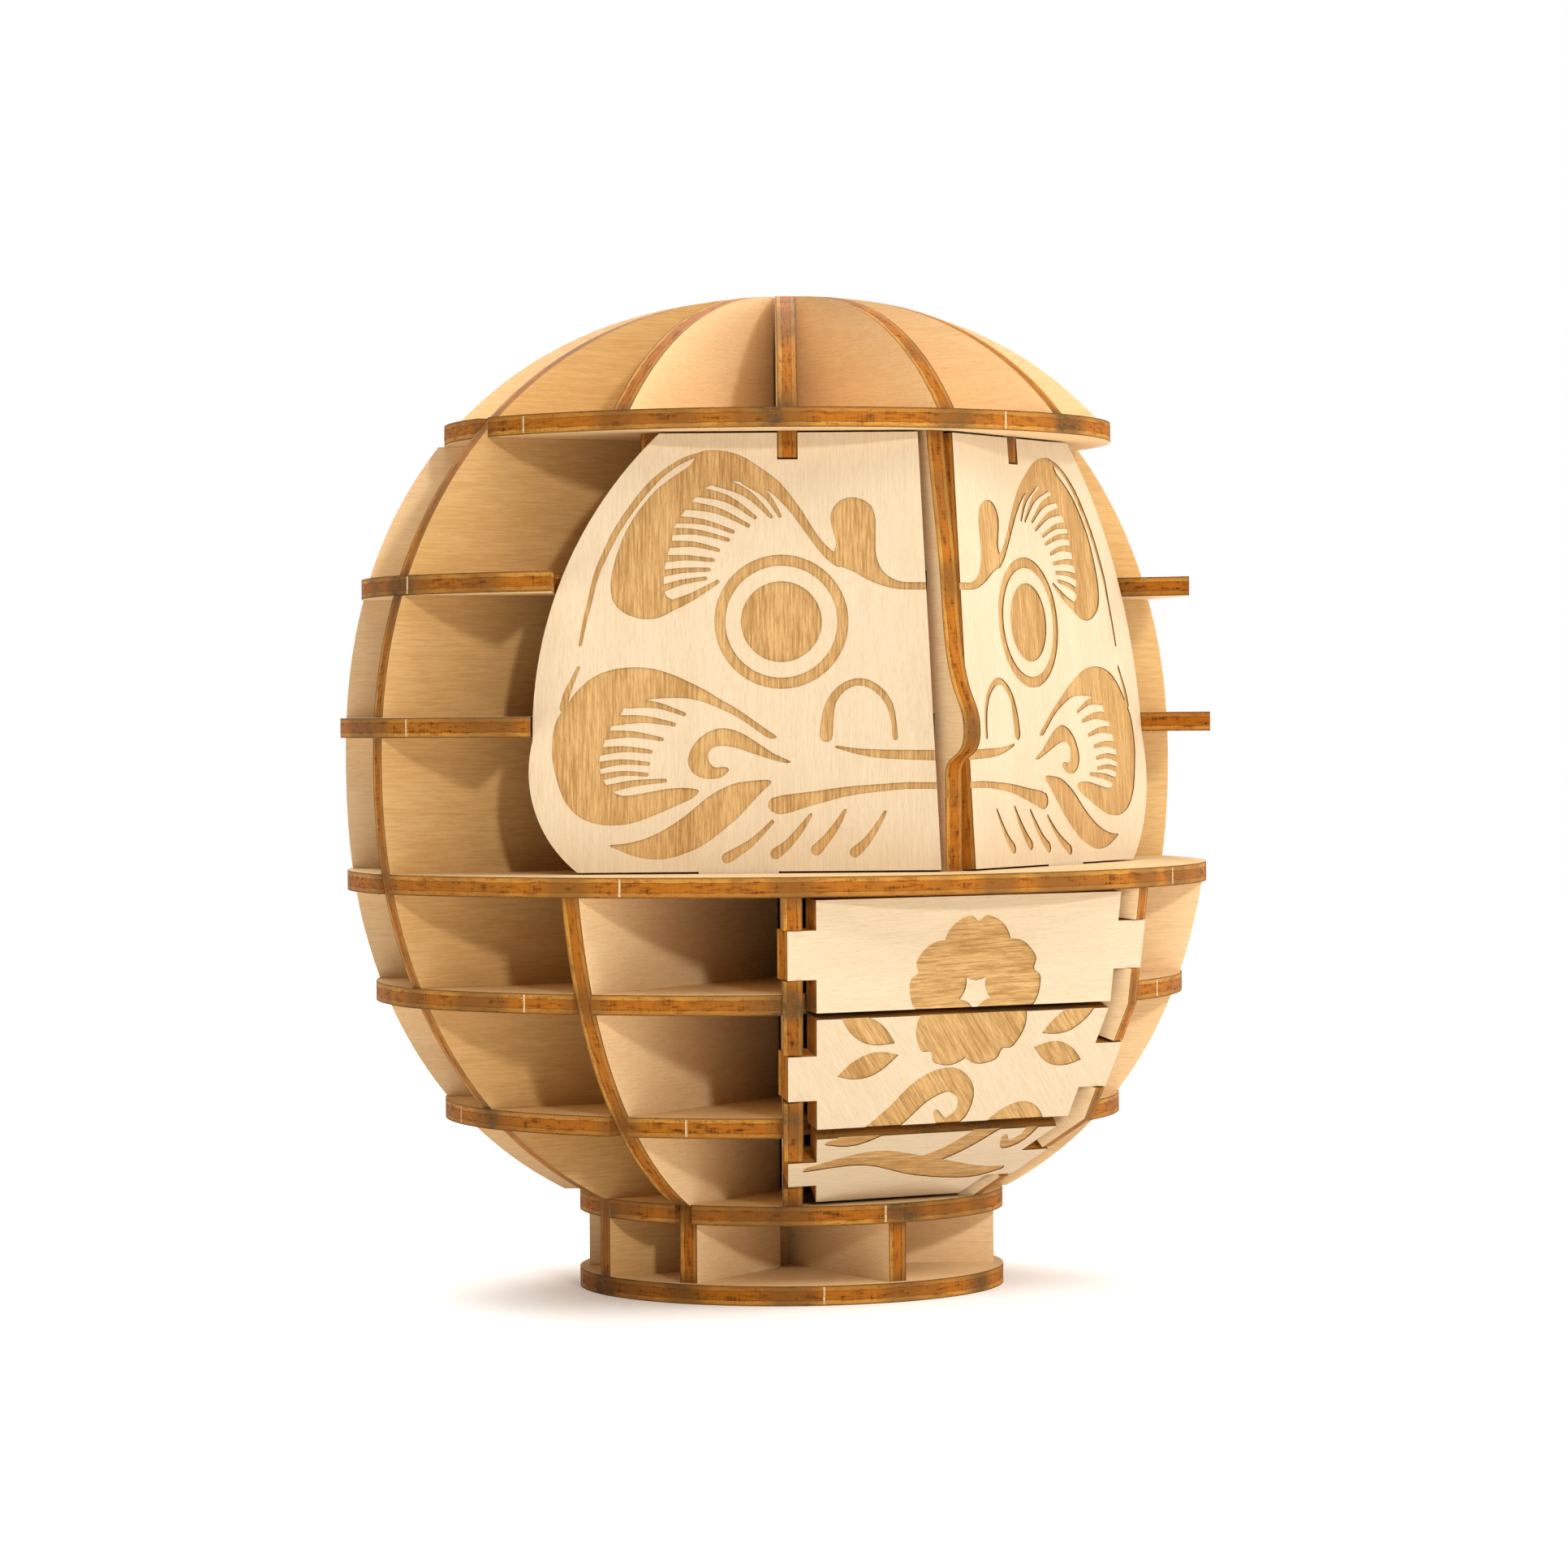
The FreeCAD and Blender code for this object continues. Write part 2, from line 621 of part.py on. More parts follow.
def make_face_panel(side):
    """One leaning face panel. Its own frame: X outward, Z up along the lean, front at Y 0."""
    hand = "left" if side < 0 else "right"
    low = size("level_shelf") + size("ply")
    gap, rise, ply = size("face_gap"), face_rise(), size("ply")
    half = size("ply") / 2 + size("fit")
    floor = rise - size("notch_depth")
    inner_low, inner_high = face_inner_reach(low), face_inner_reach(size("level_brow"))
    points = [(size("face_top_wide"), rise), (half, rise), (half, floor), (-half, floor), (-half, rise)]
    points += [(inner_high, rise), (inner_low, gap), (size("lock_inner"), gap), (size("lock_inner"), -ply)]
    points += [(size("lock_outer"), -ply), (size("lock_outer"), gap), (size("face_foot_wide"), gap)]
    shape = face_of(lines(points) + face_side_arcs())
    if side < 0:
        shape = shape.mirror(Vector(), Vector(1, 0, 0))
    panel = doc.addObject("Part::Extrusion", "face_panel_" + hand)
    panel.Base = outline("face_%s_outline" % hand, shape)
    panel.DirMode = "Custom"
    panel.Dir = Vector(0, 1, 0)
    panel.Solid = True
    bind(panel, LengthFwd="Sizes.ply")
    lean = Rotation(Vector(1, 0, 0), -math.degrees(face_lean()))
    turn = Rotation(UP, side * size("face_turn"))
    panel.Placement = Placement(turn.multVec(Vector(0, -size("face_low"), low)), turn * lean)
    finish(panel, "face_panel_" + hand)


# ---------------------------------------------------------------- belly panels

def belly_half_width(z):
    """Half width of the belly panels at a height: the inner face of the front rib, less the inset."""
    turn = math.radians(size("face_turn"))
    half = size("ply") / 2
    reach = (belly_front(z) - half * math.sin(turn)) / math.cos(turn)
    return reach * math.sin(turn) - half * math.cos(turn) - size("panel_inset")


def make_belly_panel(which, label, top, bottom):
    """A belly panel between two heights, flat on its facet, with a hook on each side."""
    hook_top, hook_bottom = HOOKS[which]
    turn = math.radians(size("face_turn"))
    hook = size("panel_inset") + size("ply") / math.cos(turn) - size("hook_short")
    right = [(belly_half_width(top), top), (belly_half_width(hook_top), hook_top),
             (belly_half_width(hook_top) + hook, hook_top), (belly_half_width(hook_bottom) + hook, hook_bottom),
             (belly_half_width(hook_bottom), hook_bottom), (belly_half_width(bottom), bottom)]
    ring = right + [(-x, z) for x, z in reversed(right)]
    spots = [Vector(x, -belly_front(z), z) for x, z in ring]
    slope = (belly_front(top) - belly_front(bottom)) / (top - bottom)
    panel = doc.addObject("Part::Extrusion", "belly_" + which)
    panel.Base = outline("belly_%s_outline" % which, Part.Face(Part.makePolygon(spots + spots[:1])))
    panel.DirMode = "Custom"
    panel.Dir = Vector(0, 1, slope).normalize()
    panel.Solid = True
    bind(panel, LengthFwd="Sizes.ply")
    finish(panel, label)


# ---------------------------------------------------------------- the whole doll

def check_document():
    """Stop if any object failed, or a sub-part has no valid solid."""
    for thing in doc.Objects:
        if "Invalid" in thing.State or "Error" in thing.State:
            raise RuntimeError("%s: %s" % (thing.Label, thing.State))
    for part in parts:
        shape = part.Shape
        if shape.isNull() or not shape.isValid() or len(shape.Solids) != 1:
            raise RuntimeError("%s: %d solids, valid %s" % (part.Label, len(shape.Solids), shape.isValid()))


def write_parts():
    os.makedirs("parts", exist_ok=True)
    for part in parts:
        part.Shape.exportStep("parts/%s.step" % part.Label)
        print("%-22s %9.1f mm3" % (part.Label, part.Shape.Volume))


fill_sheet()
make_base()
for level, label in zip(LEVELS, ("foot_plate", "low_plate", "belly_plate", "shelf_plate",
                                 "cheek_plate", "temple_plate", "brow_plate")):
    make_level_plate(level, label)
make_full_sheet("side_sheet", "side_to_side_sheet", 90, 90, from_top=False)
make_full_sheet("nose_sheet", "nose_to_back_sheet", 0, 180, from_top=True)
for rib_angle in HALF_RIB_ANGLES:
    for hand_side in (-1, 1):
        make_half_rib(rib_angle, hand_side)
for hand_side in (-1, 1):
    make_face_panel(hand_side)
joint = size("panel_joint")
make_belly_panel("upper", "belly_panel_upper", size("level_shelf") - joint, size("upper_bend_height") + joint)
make_belly_panel("middle", "belly_panel_middle", size("upper_bend_height") - joint,
                 size("lower_bend_height") + joint)
make_belly_panel("lower", "belly_panel_lower", size("lower_bend_height") - size("steep_joint"),
                 size("level_foot") + size("ply") + joint)
doc.recompute()
check_document()
write_parts()
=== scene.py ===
"""Looks for the slot-together plywood daruma doll: plywood sheets with laser-burnt edges, an engraved
face and belly, the torn ends of the holding tabs, a pale floor, studio light and the camera.

The frame: metres, +Z up, the nose faces -Y. Drawings are in millimetres.
"""

import math

import bpy
from mathutils import Matrix, Vector
from mathutils.geometry import delaunay_2d_cdt


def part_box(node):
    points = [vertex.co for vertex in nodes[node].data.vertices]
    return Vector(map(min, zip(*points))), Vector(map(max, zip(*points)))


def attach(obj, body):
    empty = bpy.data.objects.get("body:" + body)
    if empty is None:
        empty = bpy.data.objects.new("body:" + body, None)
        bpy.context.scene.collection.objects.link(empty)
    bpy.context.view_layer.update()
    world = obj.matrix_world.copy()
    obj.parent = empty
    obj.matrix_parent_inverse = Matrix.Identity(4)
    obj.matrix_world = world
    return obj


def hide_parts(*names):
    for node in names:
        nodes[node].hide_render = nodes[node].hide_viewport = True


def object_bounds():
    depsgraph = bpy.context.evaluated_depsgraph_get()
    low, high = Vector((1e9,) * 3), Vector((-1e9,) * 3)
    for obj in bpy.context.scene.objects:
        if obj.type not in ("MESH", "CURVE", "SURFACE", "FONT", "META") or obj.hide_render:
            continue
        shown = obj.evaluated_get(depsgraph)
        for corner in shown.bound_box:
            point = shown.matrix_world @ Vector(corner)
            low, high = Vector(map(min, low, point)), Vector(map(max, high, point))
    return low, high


MM = 0.001
UP = Vector((0, 0, 1))

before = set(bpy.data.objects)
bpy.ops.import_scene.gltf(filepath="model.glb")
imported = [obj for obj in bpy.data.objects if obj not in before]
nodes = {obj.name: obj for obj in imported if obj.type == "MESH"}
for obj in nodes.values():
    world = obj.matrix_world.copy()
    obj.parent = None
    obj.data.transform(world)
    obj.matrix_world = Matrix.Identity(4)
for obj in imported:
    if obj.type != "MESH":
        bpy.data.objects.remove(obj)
cad_low, cad_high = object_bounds()

FACE_PANELS = ("face_panel_left", "face_panel_right")
BELLY_PANELS = ("belly_panel_upper", "belly_panel_middle", "belly_panel_lower")
PLATES = ("base_disc", "foot_plate", "low_plate", "belly_plate", "shelf_plate", "cheek_plate",
          "temple_plate", "brow_plate")
SIDE_SHEET = "side_to_side_sheet"
RIB_STEP = math.radians(30)            # the upright sheets stand every 30 degrees

ENGRAVING_DEPTH = 0.18 * MM
CHIP_WIDTH = 0.3 * MM                  # of a torn tab, along the rim
CHIP_RISE = 0.06 * MM                  # how far it stands out from the rim
CHIP_SHARE = 0.86                      # its height as a share of the plate's thickness
OUTSIDE = 0.2                          # metres from the axis, clear of every rim
BOX_FACES = ((0, 1, 3, 2), (4, 6, 7, 5), (0, 4, 5, 1), (2, 3, 7, 6), (0, 2, 6, 4), (1, 5, 7, 3))
TABS = {"shelf_plate": (-52.8, 38, 128, 215), "brow_plate": (-79, 12, 110, 200),
        "belly_plate": (-69, 40, 140, 240), "low_plate": (-48, 66, 165, 260),
        "base_disc": (-22, 75, 155, 250), "foot_plate": (-5, 120, 230),
        "cheek_plate": (-84, 84, 180), "temple_plate": (-88, 92, 170)}     # azimuths in degrees

# Tones of the faces of the sheets, light and dark grain, linear.
RIB = ((0.82, 0.595, 0.335), (0.75, 0.510, 0.258))
# The side sheet's tones are the ribs' plywood darkened: painted shade for the compartments it lines.
SIDE_TONES_PAINTED_SHADE = ((0.590, 0.366, 0.146), (0.510, 0.290, 0.098))
PANEL = ((0.650, 0.515, 0.342), (0.597, 0.455, 0.286))
ENGRAVED = ((0.60, 0.365, 0.140), (0.33, 0.165, 0.042))
FLECK = (0.36, 0.17, 0.055)
FLECK_SHARE, ENGRAVED_FLECK_SHARE = 0.14, 0.5
BELLY_GRAIN = (0.03, -1.3, -0.04)      # rise of each belly panel's grain, for one outwards
# Tones of a burnt edge.
CORE = (0.360, 0.112, 0.005)
CHAR = (0.066, 0.016, 0.001)
VENEER = (0.48, 0.215, 0.034)
VENEER_DARK = (0.27, 0.092, 0.009)
# Dark tone shared by smoke patches on an edge and the painted shade beside its joints.
SMOKE_AND_SHADE = (0.085, 0.046, 0.014)
TORN_WOOD = ((0.74, 0.56, 0.33), (0.45, 0.27, 0.10))

PLY_HALF = 1.5                         # half the thickness of a sheet, mm
CORE_SHARE = 0.47                      # the glue line, as a share of that half
WOOD_ROUGHNESS, EDGE_ROUGHNESS = 0.50, 0.75
WOOD_SPECULAR = 0.14
BUMP_STRENGTH, BUMP_HEIGHT = 0.35, 0.05 * MM
EDGE_COSINE = 0.7                      # a side that faces further away than this is an edge
LASER_SIDE = 0.45                      # how much darker the side is where the laser came in
GLUE_WIDTH, GLUE_SHARE = 0.045, 0.45
CORNER_BAND = (0.80, 0.98)             # where an edge's corners turn to char, as a share of PLY_HALF
# How far an edge turns to that dark tone: painted shade beside the joints, and smoke in patches.
JOINT_PAINTED_SHADE, PATCH_SMOKE = 0.55, 0.6
JOINT_SHADE_REACH = 2.2                       # mm that the painted shade runs past a joint on an upright edge
RIM_JOINT_SHADE = (1.6, 5.0)                  # mm from a joint on a plate's rim: full painted shade, and none

# Studio: name, azimuth (0 in front, 90 towards +X), elevation, distance, size and power.
LIGHTS = (("key", -13, 16.5, 1.6, 0.09, 8.6), ("front", -38, 50, 1.2, 0.6, 3.2),
          ("right", 60, 24, 1.2, 0.8, 6.6), ("top", 0, 80, 1.0, 0.7, 3.2),
          ("above_front", 18, 50, 1.1, 0.6, 4.2), ("back", 170, 50, 1.1, 0.8, 15.0))
KEY_COLOR = (1.0, 0.98, 0.95)
SKY_LIGHT = 0.22                       # the white surroundings; the camera sees them as plain white
FLOOR_SIZE = 2.4
FLOOR_GLOW = (0.10, 0.72)              # beside the doll, and what is added far out
GLOW_REACH = (0.12, 0.90)              # metres from the axis between which that is added

CAMERA_AZIMUTH, CAMERA_DISTANCE, CAMERA_HEIGHT = -30.4, 0.7874, 0.08865
CAMERA_PITCH, CAMERA_ROLL, CAMERA_YAW = 0.776, 0.45, 0.04621       # degrees
LENS, SENSOR = 115.53, 36.0


# ---------------------------------------------------------------- the face

# The face's points were read off the photo, and a program turned them into millimetres.
# Brush strokes of one half of the face: (outward, height above the shelf, width).
FACE_STROKES = {
    "outer_line": [
        (12.1, 62.4, 0.6), (15.4, 61.3, 0.7), (18.4, 59.4, 0.8), (20.8, 57.1, 1), (23.2, 54.1, 1),
        (25.4, 50.8, 1), (27.1, 47.5, 0.9), (28.5, 44.2, 0.8), (29.4, 40.6, 0.7), (30.3, 37, 0.6),
        (30.9, 34, 0.5)],
    "cheek_line": [
        (31.2, 30.6, 0.5), (32, 28.8, 0.7), (32.9, 26.8, 1), (33.5, 24.6, 1.1)],
    "moustache": [
        (2.1, 10.1, 2.4), (1.2, 10.1, 2.8), (-1.2, 10.6, 2.4), (-4.2, 11.2, 1.9), (-8.4, 12, 1.4),
        (-13.2, 12.5, 1.1), (-18, 12.8, 1), (-24, 12.7, 1)],
    "mouth_line": [
        (-6.9, 18.6, 0.4), (-9.6, 18, 0.8), (-12.6, 17.6, 1.2), (-16.2, 17.4, 1.4), (-24, 17.2, 1.6)],
    "nostril": [
        (-5.4, 20.3, 2), (-5.6, 22.8, 1.8), (-6.2, 25.2, 1.4), (-7.5, 27, 1.2), (-9.5, 28.1, 1.1),
        (-11.5, 28, 1.1), (-13.5, 26.7, 1.1), (-14.8, 24.8, 1), (-15.4, 22.4, 0.8), (-15.6, 19.9, 0.8)],
    "beard_1": [
        (2.7, 7.6, 0.6), (4.3, 5.9, 0.8), (6.4, 4.1, 1.2), (9.4, 2.3, 1.6)],
    "beard_2": [
        (-3, 8.6, 0.5), (-1.5, 6.5, 1), (0.4, 4.3, 1.3), (2.2, 2.9, 1.7)],
    "beard_3": [
        (-8.1, 9.2, 0.5), (-6.8, 7, 1), (-5.3, 5, 1.3), (-3.8, 3.4, 1.7)],
    "beard_4": [
        (-14, 8.9, 0.5), (-12.9, 7, 0.8), (-11.3, 4.7, 1.2), (-9.5, 3, 1.6)],
}
# Teeth of hair at the inner edge of the brow and the cheek: width at the root, then three points.
FACE_TEETH = (
    (1.7, (17.9, 39.5), (14.3, 41), (10.5, 43.2)),
    (1.2, (19.7, 41.8), (16.1, 43.1), (12.3, 43.7)),
    (1.2, (19.7, 44.3), (15.8, 44.9), (11.8, 45)),
    (1.2, (19.7, 46.5), (15.4, 46.8), (11.2, 46.4)),
    (1.2, (19, 48.7), (14.2, 48.8), (10.4, 47.9)),
    (1.2, (18.4, 50.7), (13.6, 50.6), (8.9, 49.4)),
    (1.2, (17.5, 52.5), (12.6, 52.1), (8.2, 50.6)),
    (1.4, (16, 54.7), (10.6, 53.8), (5.9, 51.5)),
    (1.6, (14.1, 56.7), (9, 55.5), (4.9, 52.7)),
    (1.7, (10.9, 58.3), (6.1, 56.3), (2.5, 52.8)),
    (1.4, (6.3, 58.2), (3.2, 56), (1.2, 52.9)),
    (1.4, (24, 25.2), (19.8, 25), (15.6, 23.6)),
    (1.6, (26.4, 22.7), (21.6, 22.9), (17.1, 22.1)),
    (1.4, (28, 20.5), (23.4, 20.7), (18.9, 19.9)),
    (1.3, (28.8, 18.1), (24.6, 18.5), (20.6, 18.1)),
    (1.2, (29.2, 15.9), (25, 16.6), (21, 16.3)),
    (1.1, (29.2, 14.1), (25, 14.9), (21.2, 14.7)),
    (1.4, (28.5, 12.2), (23.4, 13.4), (18.5, 13.8)),
)
TOOTH_MIDDLE = 0.68                    # width half way, as a share of the root's
TOOTH_TIP = 0.6
# Broad shapes of one half of the face: (outward, height above the shelf).
FACE_AREAS = {
    "brow": [
        (12.9, 62.5), (9.9, 62.7), (6.9, 61.9), (3.9, 60), (1.5, 58.2), (-0.4, 56), (-2.1, 53.6),
        (-3.9, 50.7), (-5.6, 48.5), (-8, 46.3), (-7.5, 45.2), (-5.6, 46.5), (-3.8, 48.7), (-2, 51.2),
        (0.1, 54), (2.7, 56.5), (5.1, 57.5), (7.7, 58.1), (10, 57.9), (11.9, 57.3), (13.8, 55.6),
        (15.4, 53.6), (16.7, 51.6), (17.2, 49.6), (17.8, 47.5), (18.3, 45.5), (18.5, 43.4),
        (18.1, 41.1), (16.1, 39.9), (18.7, 38.1), (21.5, 37.7), (23.9, 38.4), (25.5, 39.6),
        (26.2, 41.1), (26.3, 43.6), (25.7, 46.3), (24.8, 49), (23.7, 51.4), (22, 54), (19.6, 56.8),
        (16.9, 58.9), (14.5, 60.5)],
    "nose_root": [
        (-9.4, 55.6), (-11.2, 55.2), (-12.5, 54.1), (-13, 52.3), (-13, 49.9), (-13, 47.4),
        (-13.6, 45.3), (-14.9, 43.8), (-16.9, 43), (-20, 42.9), (-24.8, 42.8), (-24.8, 41.8),
        (-20, 41.8), (-16.4, 41.9), (-14, 42.4), (-11.6, 43.4), (-9.5, 44.6), (-7.1, 45.6),
        (-6.3, 46.5), (-7.1, 48.5), (-6.6, 50.9), (-6.3, 52.3), (-6.6, 53.8), (-7.7, 55.1)],
    "cheek": [
        (33, 25), (31.8, 26.7), (30.2, 28.3), (28.4, 29.5), (26, 30.3), (23.3, 30.6), (20.3, 30.4),
        (17.3, 29.5), (14.9, 28.4), (12.5, 27.2), (10.1, 25.7), (7.7, 24.3), (5.3, 22.6), (3.2, 21.1),
        (1.9, 20.1), (3.2, 20), (5.4, 21.5), (7.7, 23.1), (10.1, 24.3), (12.5, 25.3), (14.9, 25.9),
        (17.9, 26), (20.6, 25.8), (24, 25.1), (24.9, 23.7), (26.4, 21.7), (27.5, 19.3), (28.2, 16.9),
        (28, 14.9), (27, 13), (24.9, 11.6), (21, 12.1), (18, 12.6), (15.3, 12.7), (13.5, 12.3),
        (14.4, 11.2), (16.8, 10.1), (19.8, 8.8), (22.8, 7.7), (25.2, 7.3), (27.6, 7.3), (30, 7.9),
        (31.8, 9), (33.3, 10.8), (34.2, 13), (34.8, 15.4), (35.2, 17.8), (35, 20.8), (34.4, 23)],
    "spiral": [
        (-0.1, 16.5), (2.4, 17.7), (4.8, 19.3), (7.2, 20.8), (9.6, 21.5), (11.7, 21.1), (13.5, 19.9),
        (14.6, 18.4), (15.1, 16.6), (14.5, 15.1), (13.2, 14.2), (11.6, 14), (10, 14.3), (9, 15.3),
        (9.7, 15.8), (11, 15.7), (11.9, 16.4), (12.1, 17.6), (11.5, 18.5), (10.2, 18.9), (8.1, 18.6),
        (6, 17.9), (3, 16.9), (0.8, 16.3)],
    "wave": [
        (26.8, 4.3), (24.7, 4.5), (22.3, 5), (19.9, 5.9), (17.4, 7.3), (15, 9), (12.6, 11),
        (10.2, 12.5), (7.8, 13.4), (5.4, 13.7), (3.2, 13.8), (2.9, 13.2), (4.2, 12), (6.1, 10),
        (7.8, 8.2), (9.6, 6.7), (11.5, 5.2), (13.5, 3.9), (15.7, 3), (18.1, 2.3), (20.5, 2.2),
        (22.9, 2.6), (25, 3.4)],
}
EYE_CENTRE = (1.1, 37.2)
EYE_RING = (9.95, 8.3)                 # outer and inner radius
EYE_PUPIL = 6.0
CIRCLE_STEPS = 56


def smooth(points, closed, steps=4):
    """Catmull-Rom points through the given ones; every number of a point is smoothed alike."""
    count = len(points)
    out = []
    for i in range(count if closed else count - 1):
        if closed:
            near = [points[(i + k) % count] for k in (-1, 0, 1, 2)]
        else:
            near = [points[min(max(i + k, 0), count - 1)] for k in (-1, 0, 1, 2)]
        for step in range(steps):
            t = step / steps
            weights = (-0.5 * t + t * t - 0.5 * t ** 3, 1 - 2.5 * t * t + 1.5 * t ** 3,
                       0.5 * t + 2 * t * t - 1.5 * t ** 3, -0.5 * t * t + 0.5 * t ** 3)
            out.append(tuple(sum(w * value for w, value in zip(weights, values)) for values in zip(*near)))
    if not closed:
        out.append(tuple(points[-1]))
    return out


def turned(offset, turn, centre):
    """A centre plus an offset that is turned anticlockwise."""
    x, y = offset
    return (centre[0] + x * math.cos(turn) - y * math.sin(turn),
            centre[1] + x * math.sin(turn) + y * math.cos(turn))


def round_end(middle, first, steps=5):
    """Points of a half circle round the end of a stroke, from its first side to the other, clockwise."""
    offset = (first[0] - middle[0], first[1] - middle[1])
    return [turned(offset, -math.pi * step / steps, middle) for step in range(1, steps)]


def stroke(points):
    """Outline of a brush stroke through (x, y, width) points, with round ends."""
    line = smooth(points, closed=False)
    left, right = [], []
    for i, (x, y, width) in enumerate(line):
        ahead, behind = line[min(i + 1, len(line) - 1)], line[max(i - 1, 0)]
        dx, dy = ahead[0] - behind[0], ahead[1] - behind[1]
        length = math.hypot(dx, dy)
        nx, ny = -dy / length * width / 2, dx / length * width / 2
        left.append((x + nx, y + ny))
        right.append((x - nx, y - ny))
    return left + round_end(line[-1], left[-1]) + right[::-1] + round_end(line[0], right[0])


def arc(centre, radius, angles):
    return [(centre[0] + radius * math.cos(angle), centre[1] + radius * math.sin(angle)) for angle in angles]


def circle(centre, radius):
    return arc(centre, radius, [math.tau * i / CIRCLE_STEPS for i in range(CIRCLE_STEPS)])


def ring(centre, outer, inner):
    """A ring as two half rings, so that each outline is a simple polygon."""
    halves = []
    for start in (0, math.pi):
        angles = [start + math.tau * i / CIRCLE_STEPS for i in range(CIRCLE_STEPS // 2 + 1)]
        halves.append(arc(centre, outer, angles) + arc(centre, inner, angles[::-1]))
    return halves


def face_drawing(shelf_top):
    """Every engraved shape of one face panel, as outlines with heights in the doll's frame."""
    shapes = [stroke(points) for points in FACE_STROKES.values()]
    for root_width, *points in FACE_TEETH:
        widths = (root_width, root_width * TOOTH_MIDDLE, TOOTH_TIP)
        shapes.append(stroke([(x, y, width) for (x, y), width in zip(points, widths)]))
    shapes += [smooth(points, closed=True, steps=3) for points in FACE_AREAS.values()]
    shapes += ring(EYE_CENTRE, *EYE_RING)
    shapes.append(circle(EYE_CENTRE, EYE_PUPIL))
    return [[(x, y + shelf_top) for x, y in shape] for shape in shapes]


# ---------------------------------------------------------------- the belly's ornament

# Places are (outward, height) in millimetres. Shapes are drawn at size 1, then enlarged and turned.
BLOSSOM_CENTRE, BLOSSOM_REACH = (1.5, 47.5), 11.5
PETAL = ((0.16, 0.0), (0.30, 0.30), (0.58, 0.50), (0.86, 0.40), (1.0, 0.14), (0.93, 0.0))
PETAL_WIDTH = 1.02                     # as a share of the petal's reach
LEAF = ((0.0, 0.06), (0.25, 0.75), (0.5, 1.0), (0.78, 0.7), (1.0, 0.05))         # along, width
LEAF_WIDTH = 3.6
LEAVES = (((-11.5, 40.5), 158, 10.5), ((-10.5, 38.6), 196, 10.0),                # root, degrees, length
          ((13.5, 38.8), -14, 9.0), ((14.5, 41.0), 24, 9.5))
CURL = ((-2.3, -0.62, 0.10), (-1.5, -0.50, 0.46), (-0.8, -0.05, 0.62), (-0.15, 0.55, 0.66),
        (0.55, 0.78, 0.58), (1.05, 0.45, 0.46), (1.02, -0.05, 0.36), (0.62, -0.26, 0.28), (0.34, 0.0, 0.16))
CURLS = (((-4.0, 29.5), 6.4), ((11.0, 25.0), 5.2))                               # middle, size
SWELL = ((-19.0, 21.2, 0.8), (-9.0, 22.6, 2.4), (2.0, 20.6, 3.0), (12.0, 19.2, 2.0), (17.0, 19.6, 0.6))


def petal(turn):
    """A broad petal pointing away from the blossom's centre, with a small dent at its tip."""
    width = BLOSSOM_REACH * PETAL_WIDTH
    outline = PETAL + tuple((along, -across) for along, across in reversed(PETAL[1:-1]))
    return smooth([turned((along * BLOSSOM_REACH, across * width), turn, BLOSSOM_CENTRE)
                   for along, across in outline], closed=True)


def blossom():
    """Five petals with a light line between them, the first pointing up."""
    return [petal(math.radians(90) + math.tau * i / 5) for i in range(5)]


def leaf(root, turn, length):
    """A slim leaf, pointed at both ends."""
    return stroke([(root[0] + length * along * math.cos(turn), root[1] + length * along * math.sin(turn),
                    LEAF_WIDTH * width) for along, width in LEAF])


def curl(middle, size):
    """A wave crest that rolls over to one side."""
    return stroke([(middle[0] + x * size, middle[1] + y * size, width * size) for x, y, width in CURL])


def belly_drawing():
    """A plum blossom with leaves, over two rolling waves and a swell."""
    shapes = blossom()
    shapes += [leaf(root, math.radians(degrees), length) for root, degrees, length in LEAVES]
    shapes += [curl(middle, size) for middle, size in CURLS]
    shapes.append(stroke(SWELL))
    return shapes


# ---------------------------------------------------------------- sheets and panels

def sheet_plane(node):
    """A flat sheet's unit normal, and the range that the sheet fills along it. The normal of a sheet that
    isn't level points towards -Y, or else +X."""
    areas = {}
    for polygon in nodes[node].data.polygons:
        facing = polygon.normal
        if facing.y > 0.02 or (abs(facing.y) <= 0.02 and facing.x < 0):
            facing = -facing
        key = tuple(round(value, 2) for value in facing)
        total, normal = areas.get(key, (0.0, facing.copy()))
        areas[key] = (total + polygon.area, normal)
    normal = max(areas.values(), key=lambda entry: entry[0])[1]
    along = [normal.dot(vertex.co) for vertex in nodes[node].data.vertices]
    return normal, min(along), max(along)


def front_outline(node, normal):
    """The corners of a sheet's front face, in order round it: the sides that only one polygon has."""
    mesh = nodes[node].data
    open_sides = {}
    for polygon in mesh.polygons:
        if polygon.normal.dot(normal) < 0.99:
            continue
        corners = [tuple(round(value, 7) for value in mesh.vertices[i].co) for i in polygon.vertices]
        for a, b in zip(corners, corners[1:] + corners[:1]):
            if (b, a) in open_sides:
                del open_sides[(b, a)]
            else:
                open_sides[(a, b)] = True
    ahead = {a: b for a, b in open_sides}
    start = next(iter(ahead))
    loop, here = [start], ahead[start]
    while here != start:
        loop.append(here)
        here = ahead[here]
    return [Vector(p) for p in loop]


class Panel:
    """A flat sheet seen from its front: drawing coordinates are (outward, height) in millimetres."""

    def __init__(self, node, side):
        self.node = node
        self.normal, back, self.front = sheet_plane(node)
        self.thickness = self.front - back
        self.level = Vector((self.normal.x, self.normal.y, 0))
        self.ahead = self.level.normalized()
        self.outward = Vector((-self.normal.y, self.normal.x, 0)).normalized() * side
        self.mirrored = self.outward.cross(UP).dot(self.normal) < 0

    def point(self, x, height, depth):
        """The place in the doll's frame of a drawing point that lies a depth below the front."""
        z = height * MM
        reach = (self.front - self.normal.z * z) / self.level.length
        return self.outward * (x * MM) + self.ahead * reach + UP * z - self.normal * depth

    def outline(self):
        corners = front_outline(self.node, self.normal)
        return [(place.dot(self.outward) / MM, place.z / MM) for place in corners]


